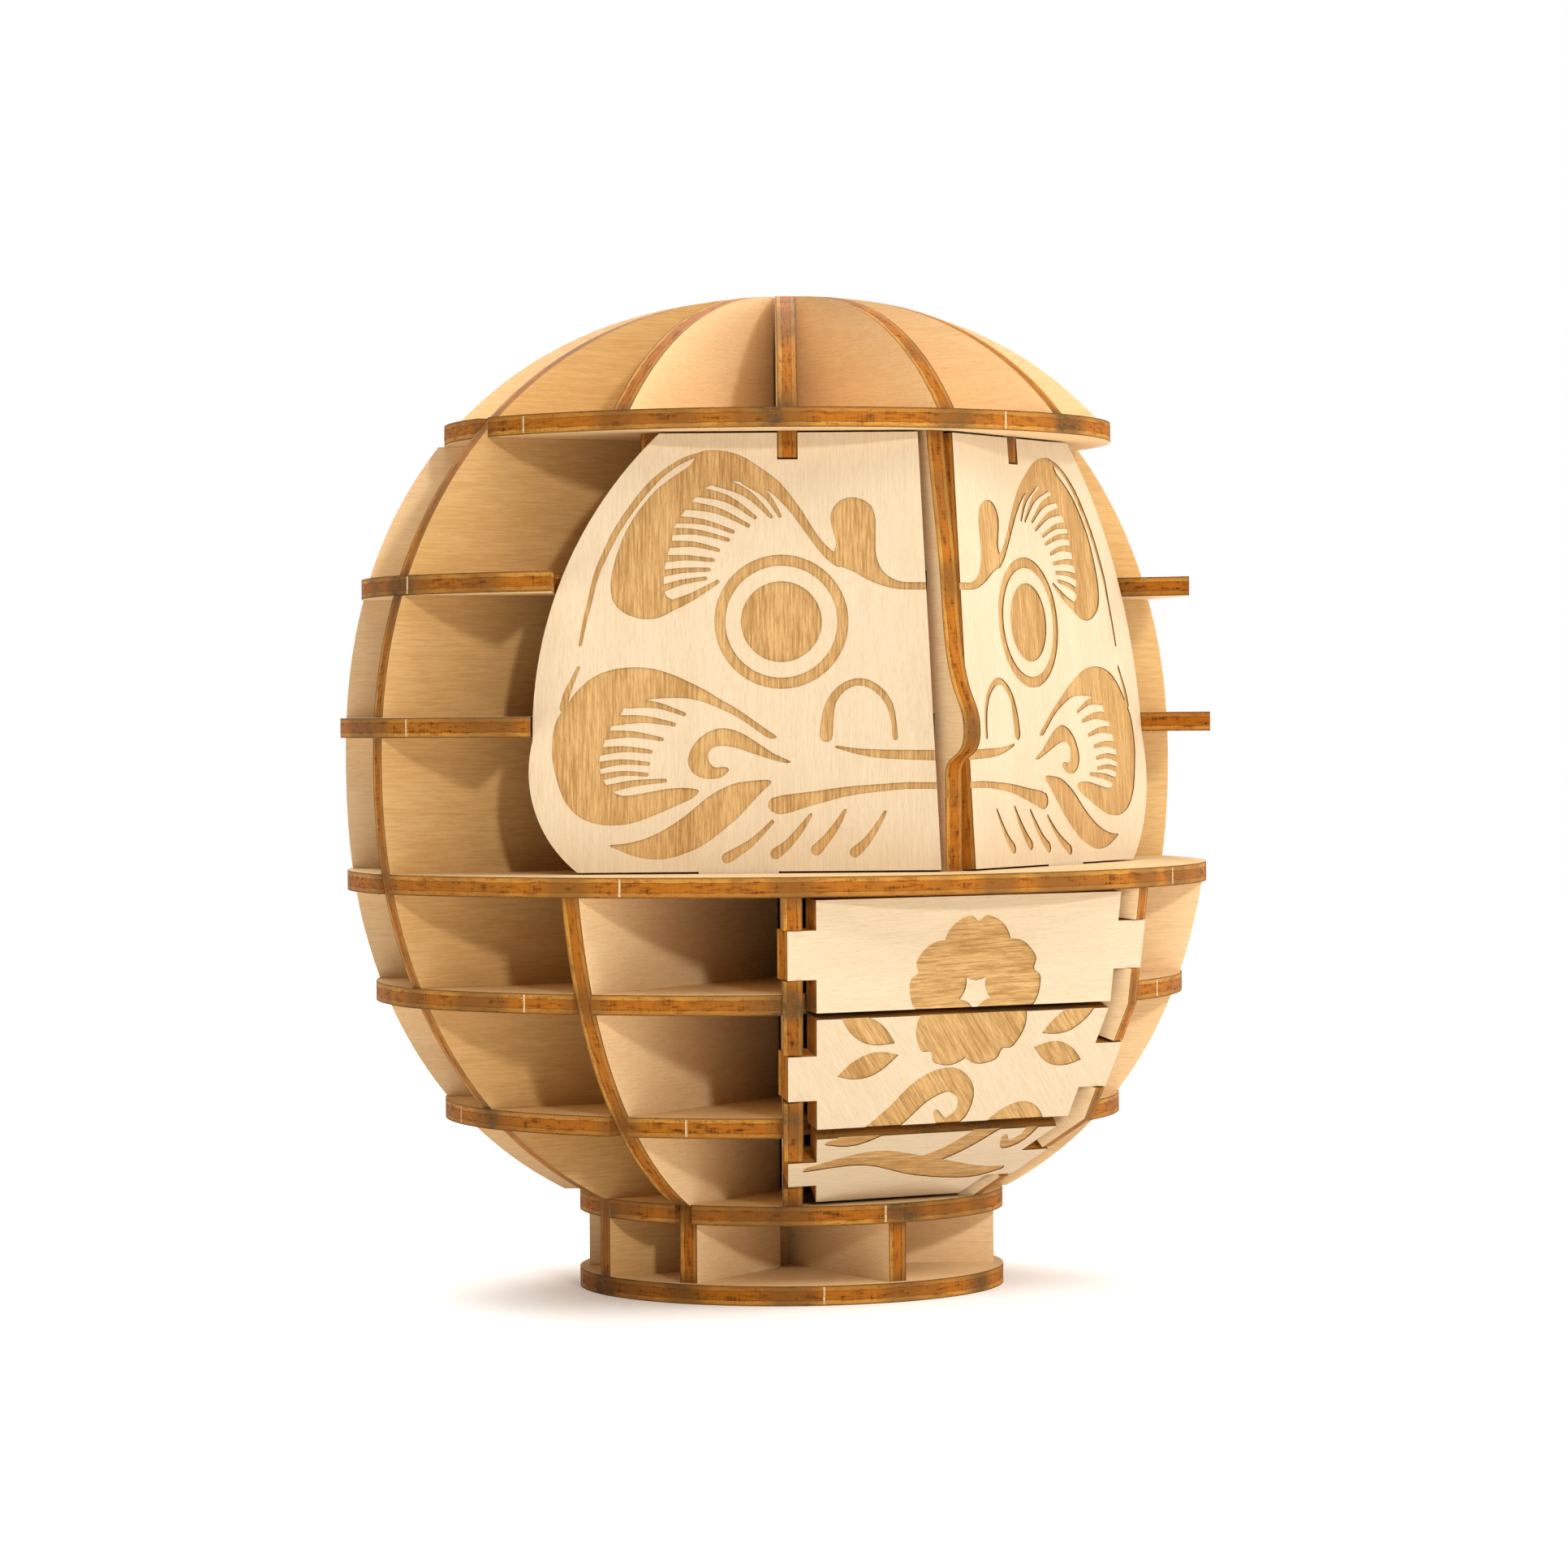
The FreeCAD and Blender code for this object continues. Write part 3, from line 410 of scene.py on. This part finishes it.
def inside(point, outline):
    """True if a flat point lies within an outline."""
    x, y = point
    hit = False
    for (x0, y0), (x1, y1) in zip(outline, outline[1:] + outline[:1]):
        if (y0 > y) != (y1 > y) and x < x0 + (x1 - x0) * (y - y0) / (y1 - y0):
            hit = not hit
    return hit


def signed_area(points, face):
    """Twice a flat face's area, above zero if it runs anticlockwise."""
    return sum(points[a].x * points[b].y - points[b].x * points[a].y
               for a, b in zip(face, face[1:] + face[:1]))


def cut_faces(outline, shapes):
    """Divides a panel's front into triangles, and says of each whether it is engraved."""
    flat, rings = [], []
    for corners in [outline] + shapes:
        rings.append(list(range(len(flat), len(flat) + len(corners))))
        flat += [Vector(p) for p in corners]
    points, _, faces, _, _, _ = delaunay_2d_cdt(flat, [], rings, 0, 1e-5, True)
    kept = []
    for face in faces:
        middle = sum((points[i] for i in face), Vector((0, 0))) / len(face)
        if inside(middle, outline):
            kept.append((list(face), any(inside(middle, shape) for shape in shapes)))
    return points, kept


class Carving:
    """Collects the corners and polygons of an engraved panel. Slot 0 is plain, slot 1 engraved."""

    def __init__(self, panel, points):
        self.panel, self.points = panel, points
        self.vertices, self.index = [], {}
        self.polygons, self.slots = [], []

    def corner(self, i, depth):
        if (i, depth) not in self.index:
            self.index[(i, depth)] = len(self.vertices)
            self.vertices.append(self.panel.point(self.points[i].x, self.points[i].y, depth))
        return self.index[(i, depth)]

    def polygon(self, corners, slot):
        self.polygons.append([self.corner(i, depth) for i, depth in corners])
        self.slots.append(slot)

    def outer_wall(self, a, b, depth, sunk):
        """The panel's own edge between two corners, with the engraving's floor as extra corners."""
        back = self.panel.thickness
        wall = [(b, depth), (a, depth)]
        wall += [(a, ENGRAVING_DEPTH)] if depth == 0 and a in sunk else []
        wall += [(a, back), (b, back)]
        wall += [(b, ENGRAVING_DEPTH)] if depth == 0 and b in sunk else []
        self.polygon(wall, 0)


def carve(panel, shapes):
    """The closed body of a panel with every shape sunk into its front."""
    points, faces = cut_faces(panel.outline(), shapes)
    carving = Carving(panel, points)
    depths = {}
    for face, engraved in faces:
        depth = ENGRAVING_DEPTH if engraved else 0.0
        order = face if (signed_area(points, face) > 0) != panel.mirrored else face[::-1]
        carving.polygon([(i, depth) for i in order], int(engraved))
        carving.polygon([(i, panel.thickness) for i in order[::-1]], 0)
        for side in zip(order, order[1:] + order[:1]):
            depths[side] = depth
    sunk = {i for face, engraved in faces if engraved for i in face}
    for (a, b), depth in depths.items():
        beyond = depths.get((b, a))
        if beyond is None:
            carving.outer_wall(a, b, depth, sunk)
        elif depth == 0.0 and beyond > 0.0:
            carving.polygon([(b, 0.0), (a, 0.0), (a, beyond), (b, beyond)], 1)
    return carving


def add_piece(name, vertices, polygons, materials):
    """A mesh object that rides on the doll's body and takes the given materials."""
    mesh = bpy.data.meshes.new(name)
    mesh.from_pydata(vertices, [], polygons)
    for material in materials:
        mesh.materials.append(material)
    mesh.update()
    made = bpy.data.objects.new(name, mesh)
    bpy.context.scene.collection.objects.link(made)
    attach(made, "root")
    return made


def engraved_panel(panel, shapes, materials):
    """The engraved panel in place of the plain one."""
    carving = carve(panel, shapes)
    made = add_piece("engraved_" + panel.node, carving.vertices, carving.polygons, materials)
    for polygon, slot in zip(made.data.polygons, carving.slots):
        polygon.material_index = slot
    made.data.validate()
    made.data.update()
    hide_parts(panel.node)


# ---------------------------------------------------------------- materials

class Graph:
    """Short ways to add nodes to a node tree."""

    def __init__(self, tree):
        self.tree = tree

    def add(self, kind, inputs=None, **settings):
        made = self.tree.nodes.new(kind)
        for name, value in settings.items():
            setattr(made, name, value)
        for name, value in (inputs or {}).items():
            self.feed(made.inputs[name], value)
        return made

    def feed(self, socket, value):
        if isinstance(value, bpy.types.NodeSocket):
            self.tree.links.new(value, socket)
        else:
            socket.default_value = value

    def math(self, operation, *values, clamp=False):
        made = self.add("ShaderNodeMath", operation=operation, use_clamp=clamp)
        for socket, value in zip(made.inputs, values):
            self.feed(socket, value)
        return made.outputs[0]

    def vector(self, operation, *values):
        """A vector sum, product or scaling, or the number of a dot product or a length."""
        made = self.add("ShaderNodeVectorMath", operation=operation)
        sockets = (made.inputs[0], made.inputs["Scale"]) if operation == "SCALE" else made.inputs
        for socket, value in zip(sockets, values):
            self.feed(socket, value)
        return made.outputs["Value" if operation in ("DOT_PRODUCT", "LENGTH") else "Vector"]

    def noise(self, place, scale, detail=3.0, roughness=0.55):
        made = self.add("ShaderNodeTexNoise", {"Vector": place, "Scale": scale, "Detail": detail,
                                               "Roughness": roughness})
        return made.outputs["Fac"]

    def ramp(self, value, stops):
        """A grey colour ramp through (position, brightness) stops."""
        made = self.add("ShaderNodeValToRGB", {"Fac": value})
        elements = made.color_ramp.elements
        while len(elements) < len(stops):
            elements.new(0.5)
        for element, (position, grey) in zip(elements, stops):
            element.position = position
            element.color = (grey, grey, grey, 1)
        return made.outputs["Color"]

    def mix(self, share, first, second):
        made = self.add("ShaderNodeMix", data_type="RGBA")
        for socket, value in zip((made.inputs[0], made.inputs[6], made.inputs[7]), (share, first, second)):
            self.feed(socket, (*value, 1) if isinstance(value, tuple) else value)
        return made.outputs[2]

    def step(self, value, low, high):
        """0 below low, 1 above high, and smooth between."""
        made = self.add("ShaderNodeMapRange", {"Value": value, "From Min": low, "From Max": high},
                        interpolation_type="SMOOTHSTEP")
        return made.outputs["Result"]

    def place(self):
        """The place on the doll in millimetres."""
        spot = self.add("ShaderNodeTexCoord").outputs["Object"]
        return self.vector("MULTIPLY", spot, (1 / MM,) * 3)


def new_material(name):
    """A new material, its node graph and its shader."""
    material = bpy.data.materials.new(name)
    material.use_nodes = True
    return material, Graph(material.node_tree), material.node_tree.nodes["Principled BSDF"]


def upright_joints(graph, place):
    """1 on an upright edge where it passes a plate, fading within a few millimetres: where painted shade
    falls beside the joint.
    """
    height = graph.add("ShaderNodeSeparateXYZ", {"Vector": place}).outputs["Z"]
    top = cad_high.z / MM
    stops = []
    for plate in PLATES:
        low, high = (corner.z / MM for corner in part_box(plate))
        stops += [(max(low - JOINT_SHADE_REACH, 0.0) / top, 0.0), (low / top, 1.0), (high / top, 1.0),
                  ((high + JOINT_SHADE_REACH) / top, 0.0)]
    return graph.ramp(graph.math("DIVIDE", height, top), stops)


def rim_joints(graph, place):
    """1 on a plate's rim where an upright sheet meets it, fading within a few millimetres: where painted
    shade falls beside the joint.
    """
    split = graph.add("ShaderNodeSeparateXYZ", {"Vector": place})
    turns = graph.math("DIVIDE", graph.math("ARCTAN2", split.outputs["X"], split.outputs["Y"]), RIB_STEP)
    off = graph.math("ABSOLUTE", graph.math("SUBTRACT", turns, graph.math("ROUND", turns)))
    radius = graph.vector("LENGTH", graph.vector("MULTIPLY", place, (1, 1, 0)))
    away = graph.math("MULTIPLY", graph.math("MULTIPLY", off, RIB_STEP), radius)
    return graph.math("SUBTRACT", 1.0, graph.step(away, *RIM_JOINT_SHADE))


class PlywoodGroup:
    """A node group for plywood: pale grained faces, and edges burnt by the laser with three plies
    showing, with painted shade beside the joints. Level plates and upright sheets have one each, because
    their joints lie differently."""

    INPUTS = (("Normal", "Vector"), ("Middle", "Float"), ("Grain", "Vector"), ("Side", "Vector"),
              ("Light", "Color"), ("Dark", "Color"), ("Fleck", "Float"), ("Seed", "Float"))
    OUTPUTS = (("Color", "Color"), ("Roughness", "Float"), ("Bump", "Vector"))

    def __init__(self, level):
        self.level = level
        name = "plywood_level" if level else "plywood_upright"
        self.tree = bpy.data.node_groups.new(name, "ShaderNodeTree")
        for sockets, way in ((self.INPUTS, "INPUT"), (self.OUTPUTS, "OUTPUT")):
            for name, kind in sockets:
                self.tree.interface.new_socket(name, in_out=way, socket_type="NodeSocket" + kind)
        self.graph = Graph(self.tree)
        self.given = self.tree.nodes.new("NodeGroupInput").outputs
        self.place = self.graph.place()
        self.across = self.graph.math("SUBTRACT", self.along("Normal"), self.given["Middle"])
        self.finish()

    def along(self, direction):
        return self.graph.vector("DOT_PRODUCT", self.place, self.given[direction])

    def grain_noise(self, along, side, layer, detail, roughness):
        """Noise stretched along the grain: features per millimetre along it and across it."""
        graph = self.graph
        numbers = {"X": graph.math("MULTIPLY", self.along("Grain"), along),
                   "Y": graph.math("MULTIPLY", self.along("Side"), side),
                   "Z": graph.math("ADD", self.given["Seed"], layer)}
        stretched = graph.add("ShaderNodeCombineXYZ", numbers)
        return graph.noise(stretched.outputs["Vector"], 1.0, detail, roughness)

    def face(self):
        """Fine streaks on broad bands, with small dark flecks; also the height for the bump."""
        graph = self.graph
        streaks = self.grain_noise(along=0.20, side=3.4, layer=0.0, detail=4.0, roughness=0.7)
        bands = self.grain_noise(along=0.015, side=0.16, layer=7.0, detail=3.0, roughness=0.6)
        flecks = self.grain_noise(along=0.7, side=5.5, layer=3.0, detail=2.0, roughness=0.5)
        tone = graph.math("ADD", graph.math("MULTIPLY", streaks, 0.70), graph.math("MULTIPLY", bands, 0.30))
        grained = graph.mix(graph.step(tone, 0.36, 0.64), self.given["Light"], self.given["Dark"])
        share = graph.math("MULTIPLY", graph.step(flecks, 0.52, 0.70), self.given["Fleck"])
        return graph.mix(share, grained, FLECK), graph.mix(0.5, streaks, flecks)

    def edge(self):
        """A dark core between two lighter veneers, burnt at the corners, with painted shade beside the
        joints.
        """
        graph, across = self.graph, self.across
        squeezed = graph.vector("SCALE", self.given["Normal"], graph.math("MULTIPLY", across, 0.85))
        through = graph.vector("SUBTRACT", self.place, squeezed)
        stretched = graph.vector("SCALE", self.given["Normal"], graph.math("MULTIPLY", across, 1.1))
        lengthwise = graph.vector("ADD", graph.vector("MULTIPLY", through, (0.22,) * 3), stretched)
        pulses = graph.noise(through, 2.4, 3.0, 0.6)
        bands = graph.noise(lengthwise, 1.7, 4.0, 0.6)
        mottle = graph.math("ADD", graph.math("MULTIPLY", pulses, 0.30), graph.math("MULTIPLY", bands, 0.70))
        wobble = graph.math("MULTIPLY", graph.math("SUBTRACT", bands, 0.5), 0.30)
        ply = graph.math("ADD", graph.math("ABSOLUTE", graph.math("DIVIDE", across, PLY_HALF)), wobble)

        core = graph.mix(graph.step(mottle, 0.30, 0.54), CHAR, CORE)
        veneer = graph.mix(graph.step(mottle, 0.34, 0.56), VENEER_DARK, VENEER)
        laser_side = graph.math("MULTIPLY", graph.step(across, -0.5, 0.5), LASER_SIDE)
        veneer = graph.mix(laser_side, veneer, VENEER_DARK)
        edge = graph.mix(graph.step(ply, CORE_SHARE - 0.05, CORE_SHARE + 0.05), core, veneer)
        glue = graph.math("MULTIPLY", graph.math("COMPARE", ply, CORE_SHARE, GLUE_WIDTH), GLUE_SHARE)
        edge = graph.mix(glue, edge, CHAR)
        corner = graph.math("MULTIPLY", graph.step(ply, *CORNER_BAND), graph.math("MULTIPLY", pulses, 1.5),
                            clamp=True)
        edge = graph.mix(corner, edge, CHAR)
        return graph.mix(self.smoke_and_shade(mottle), edge, SMOKE_AND_SHADE), mottle

    def smoke_and_shade(self, mottle):
        """How far an edge turns to the dark tone: painted shade beside the joints, and smoke in patches
        about a centimetre wide.
        """
        graph = self.graph
        joints = (rim_joints if self.level else upright_joints)(graph, self.place)
        patch = graph.noise(graph.vector("MULTIPLY", self.place, (0.07,) * 3), 1.0, 2.0, 0.5)
        smoke_and_shade = graph.math("ADD", graph.math("MULTIPLY", joints, JOINT_PAINTED_SHADE),
                           graph.math("MULTIPLY", graph.step(patch, 0.48, 0.66), PATCH_SMOKE), clamp=True)
        return graph.math("MULTIPLY", smoke_and_shade, graph.step(mottle, 0.25, 0.62))

    def finish(self):
        """Chooses face or edge by the side that the surface faces."""
        graph = self.graph
        true_normal = graph.add("ShaderNodeNewGeometry").outputs["True Normal"]
        facing = graph.math("ABSOLUTE", graph.vector("DOT_PRODUCT", true_normal, self.given["Normal"]))
        is_edge = graph.math("LESS_THAN", facing, EDGE_COSINE)
        face, face_height = self.face()
        edge, edge_height = self.edge()
        rougher = graph.math("MULTIPLY", is_edge, EDGE_ROUGHNESS - WOOD_ROUGHNESS)
        bump = graph.add("ShaderNodeBump", {"Height": graph.mix(is_edge, face_height, edge_height),
                                            "Strength": BUMP_STRENGTH, "Distance": BUMP_HEIGHT})
        out = self.tree.nodes.new("NodeGroupOutput")
        graph.feed(out.inputs["Color"], graph.mix(is_edge, face, edge))
        graph.feed(out.inputs["Roughness"], graph.math("ADD", WOOD_ROUGHNESS, rougher))
        graph.feed(out.inputs["Bump"], bump.outputs["Normal"])


def wood(name, node, grain, tones, groups, fleck=FLECK_SHARE):
    """A plywood material for one sheet, tied to the sheet's own plane and grain direction."""
    normal, low, high = sheet_plane(node)
    material, graph, shader = new_material(name)
    ply = graph.add("ShaderNodeGroup", node_tree=groups[node in PLATES].tree)
    seed = sum(ord(letter) for letter in node) * 0.37
    values = {"Normal": normal, "Middle": (low + high) / 2 / MM, "Grain": grain,
              "Side": normal.cross(grain).normalized(), "Light": (*tones[0], 1), "Dark": (*tones[1], 1),
              "Fleck": fleck, "Seed": seed}
    for key, value in values.items():
        ply.inputs[key].default_value = value
    graph.feed(shader.inputs["Base Color"], ply.outputs["Color"])
    graph.feed(shader.inputs["Roughness"], ply.outputs["Roughness"])
    graph.feed(shader.inputs["Normal"], ply.outputs["Bump"])
    shader.inputs["Specular IOR Level"].default_value = WOOD_SPECULAR
    return material


def torn_wood():
    material, graph, shader = new_material("torn_wood")
    fibres = graph.step(graph.noise(graph.place(), 3.0), 0.35, 0.65)
    graph.feed(shader.inputs["Base Color"], graph.mix(fibres, *TORN_WOOD))
    shader.inputs["Roughness"].default_value = 0.8
    return material


# ---------------------------------------------------------------- the doll

def dress_sheets(groups):
    """Plywood on every sheet that stays as the CAD made it; its grain runs level."""
    for name, sheet in nodes.items():
        if name in FACE_PANELS + BELLY_PANELS:
            continue
        grain = Vector((1, 0, 0)) if name in PLATES else UP.cross(sheet_plane(name)[0]).normalized()
        # The side sheet takes the darker tones that hold painted shade of its compartments.
        tones = SIDE_TONES_PAINTED_SHADE if name == SIDE_SHEET else RIB
        sheet.data.materials.clear()
        sheet.data.materials.append(wood("ply_" + name, name, grain, tones, groups))


def build_panels(groups):
    """The engraved face panels, grained upright, and the belly panels, grained each its own way."""
    shelf_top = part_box("shelf_plate")[1].z / MM
    drawn = [(name, face_drawing(shelf_top), UP) for name in FACE_PANELS]
    drawn += [(name, belly_drawing(), Vector((1, 0, rise))) for name, rise in zip(BELLY_PANELS, BELLY_GRAIN)]
    for name, shapes, grain in drawn:
        panel = Panel(name, -1 if name.endswith("left") else 1)
        in_plane = (grain - panel.normal * grain.dot(panel.normal)).normalized()
        plain = wood("ply_" + name, name, in_plane, PANEL, groups)
        burnt = wood("engraved_" + name, name, in_plane, ENGRAVED, groups, ENGRAVED_FLECK_SHARE)
        engraved_panel(panel, shapes, (plain, burnt))


def chip_on_rim(plate, azimuth):
    """The corners of the small box that a torn tab leaves on a plate's rim, or none off the rim."""
    low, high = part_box(plate)
    turn = math.radians(azimuth)
    outward = Vector((math.sin(turn), -math.cos(turn), 0))
    start = outward * OUTSIDE + UP * (low.z + high.z) / 2
    hit, place, normal, _ = nodes[plate].ray_cast(start, -outward)
    if not hit or abs(normal.z) > 0.5:
        return []
    along = normal.cross(UP).normalized() * CHIP_WIDTH / 2
    over = UP * (high.z - low.z) * CHIP_SHARE / 2
    return [place + along * i + normal * CHIP_RISE * j + over * k
            for i in (-1, 1) for j in (-1, 1) for k in (-1, 1)]


def tab_chips():
    """The torn ends of the tabs that held each plate in its board before it was pressed out."""
    material = torn_wood()
    for plate, azimuths in TABS.items():
        vertices, polygons = [], []
        for azimuth in azimuths:
            corners = chip_on_rim(plate, azimuth)
            if corners:
                polygons += [[len(vertices) + i for i in face] for face in BOX_FACES]
                vertices += corners
        add_piece("tab_chips_" + plate, vertices, polygons, (material,))


# ---------------------------------------------------------------- studio

def make_floor():
    """A plain pale floor, which is not part of the doll. It brightens outwards, like a lit sweep."""
    bpy.ops.mesh.primitive_plane_add(size=FLOOR_SIZE, location=(0, 0, 0))
    floor = bpy.context.object
    floor.name = "floor"
    material, graph, shader = new_material("floor")
    place = graph.add("ShaderNodeTexCoord").outputs["Object"]
    speck = graph.noise(place, 60.0)
    graph.feed(shader.inputs["Base Color"], graph.mix(speck, (0.93, 0.93, 0.93), (0.95, 0.95, 0.95)))
    shader.inputs["Roughness"].default_value = 0.8
    shader.inputs["Emission Color"].default_value = (1, 1, 1, 1)
    outwards = graph.math("MULTIPLY", graph.step(graph.vector("LENGTH", place), *GLOW_REACH), FLOOR_GLOW[1])
    graph.feed(shader.inputs["Emission Strength"], graph.math("ADD", FLOOR_GLOW[0], outwards))
    floor.data.materials.append(material)


def make_sky():
    world = bpy.data.worlds.new("studio")
    world.use_nodes = True
    graph = Graph(world.node_tree)
    seen = graph.add("ShaderNodeLightPath").outputs["Is Camera Ray"]
    background = world.node_tree.nodes["Background"]
    background.inputs["Color"].default_value = (1.0, 1.0, 1.0, 1)
    strength = graph.math("ADD", SKY_LIGHT, graph.math("MULTIPLY", seen, 1.0 - SKY_LIGHT))
    graph.feed(background.inputs["Strength"], strength)
    bpy.context.scene.world = world


def make_light(name, azimuth, elevation, distance, size, power):
    """A square soft light that looks at the middle of the doll."""
    turn, rise = math.radians(azimuth), math.radians(elevation)
    away = Vector((math.sin(turn) * math.cos(rise), -math.cos(turn) * math.cos(rise), math.sin(rise)))
    data = bpy.data.lights.new(name, "AREA")
    data.size, data.energy = size, power
    data.color = KEY_COLOR if name == "key" else (1, 1, 1)
    light = bpy.data.objects.new(name, data)
    bpy.context.scene.collection.objects.link(light)
    light.location = UP * (cad_low.z + cad_high.z) / 2 + away * distance
    light.rotation_mode = "QUATERNION"
    light.rotation_quaternion = (-away).to_track_quat("-Z", "Y")


def make_camera():
    """The camera stands to the left of the front, level with the face, with a long lens."""
    azimuth, pitch = math.radians(CAMERA_AZIMUTH), math.radians(CAMERA_PITCH)
    roll, yaw = math.radians(CAMERA_ROLL), math.radians(CAMERA_YAW)
    away = Vector((math.sin(azimuth), -math.cos(azimuth), 0))
    right = Vector((math.cos(azimuth), math.sin(azimuth), 0))
    ahead = -away * math.cos(pitch) - UP * math.sin(pitch)
    over = UP * math.cos(pitch) - away * math.sin(pitch)
    aside = right * math.cos(yaw) + ahead * math.sin(yaw)
    ahead = ahead * math.cos(yaw) - right * math.sin(yaw)
    picture_right = aside * math.cos(roll) - over * math.sin(roll)
    picture_up = aside * math.sin(roll) + over * math.cos(roll)
    data = bpy.data.cameras.new("camera")
    data.sensor_width, data.lens = SENSOR, LENS
    data.clip_start, data.clip_end = 0.01, 50.0
    camera = bpy.data.objects.new("camera", data)
    bpy.context.scene.collection.objects.link(camera)
    turned = Matrix((picture_right, picture_up, -ahead)).transposed().to_4x4()
    camera.matrix_world = Matrix.Translation(away * CAMERA_DISTANCE + UP * CAMERA_HEIGHT) @ turned
    bpy.context.scene.camera = camera


plywood = {level: PlywoodGroup(level) for level in (True, False)}
dress_sheets(plywood)
build_panels(plywood)
tab_chips()
make_floor()
make_sky()
for light in LIGHTS:
    make_light(*light)
make_camera()
bpy.context.scene.view_settings.view_transform = "Standard"
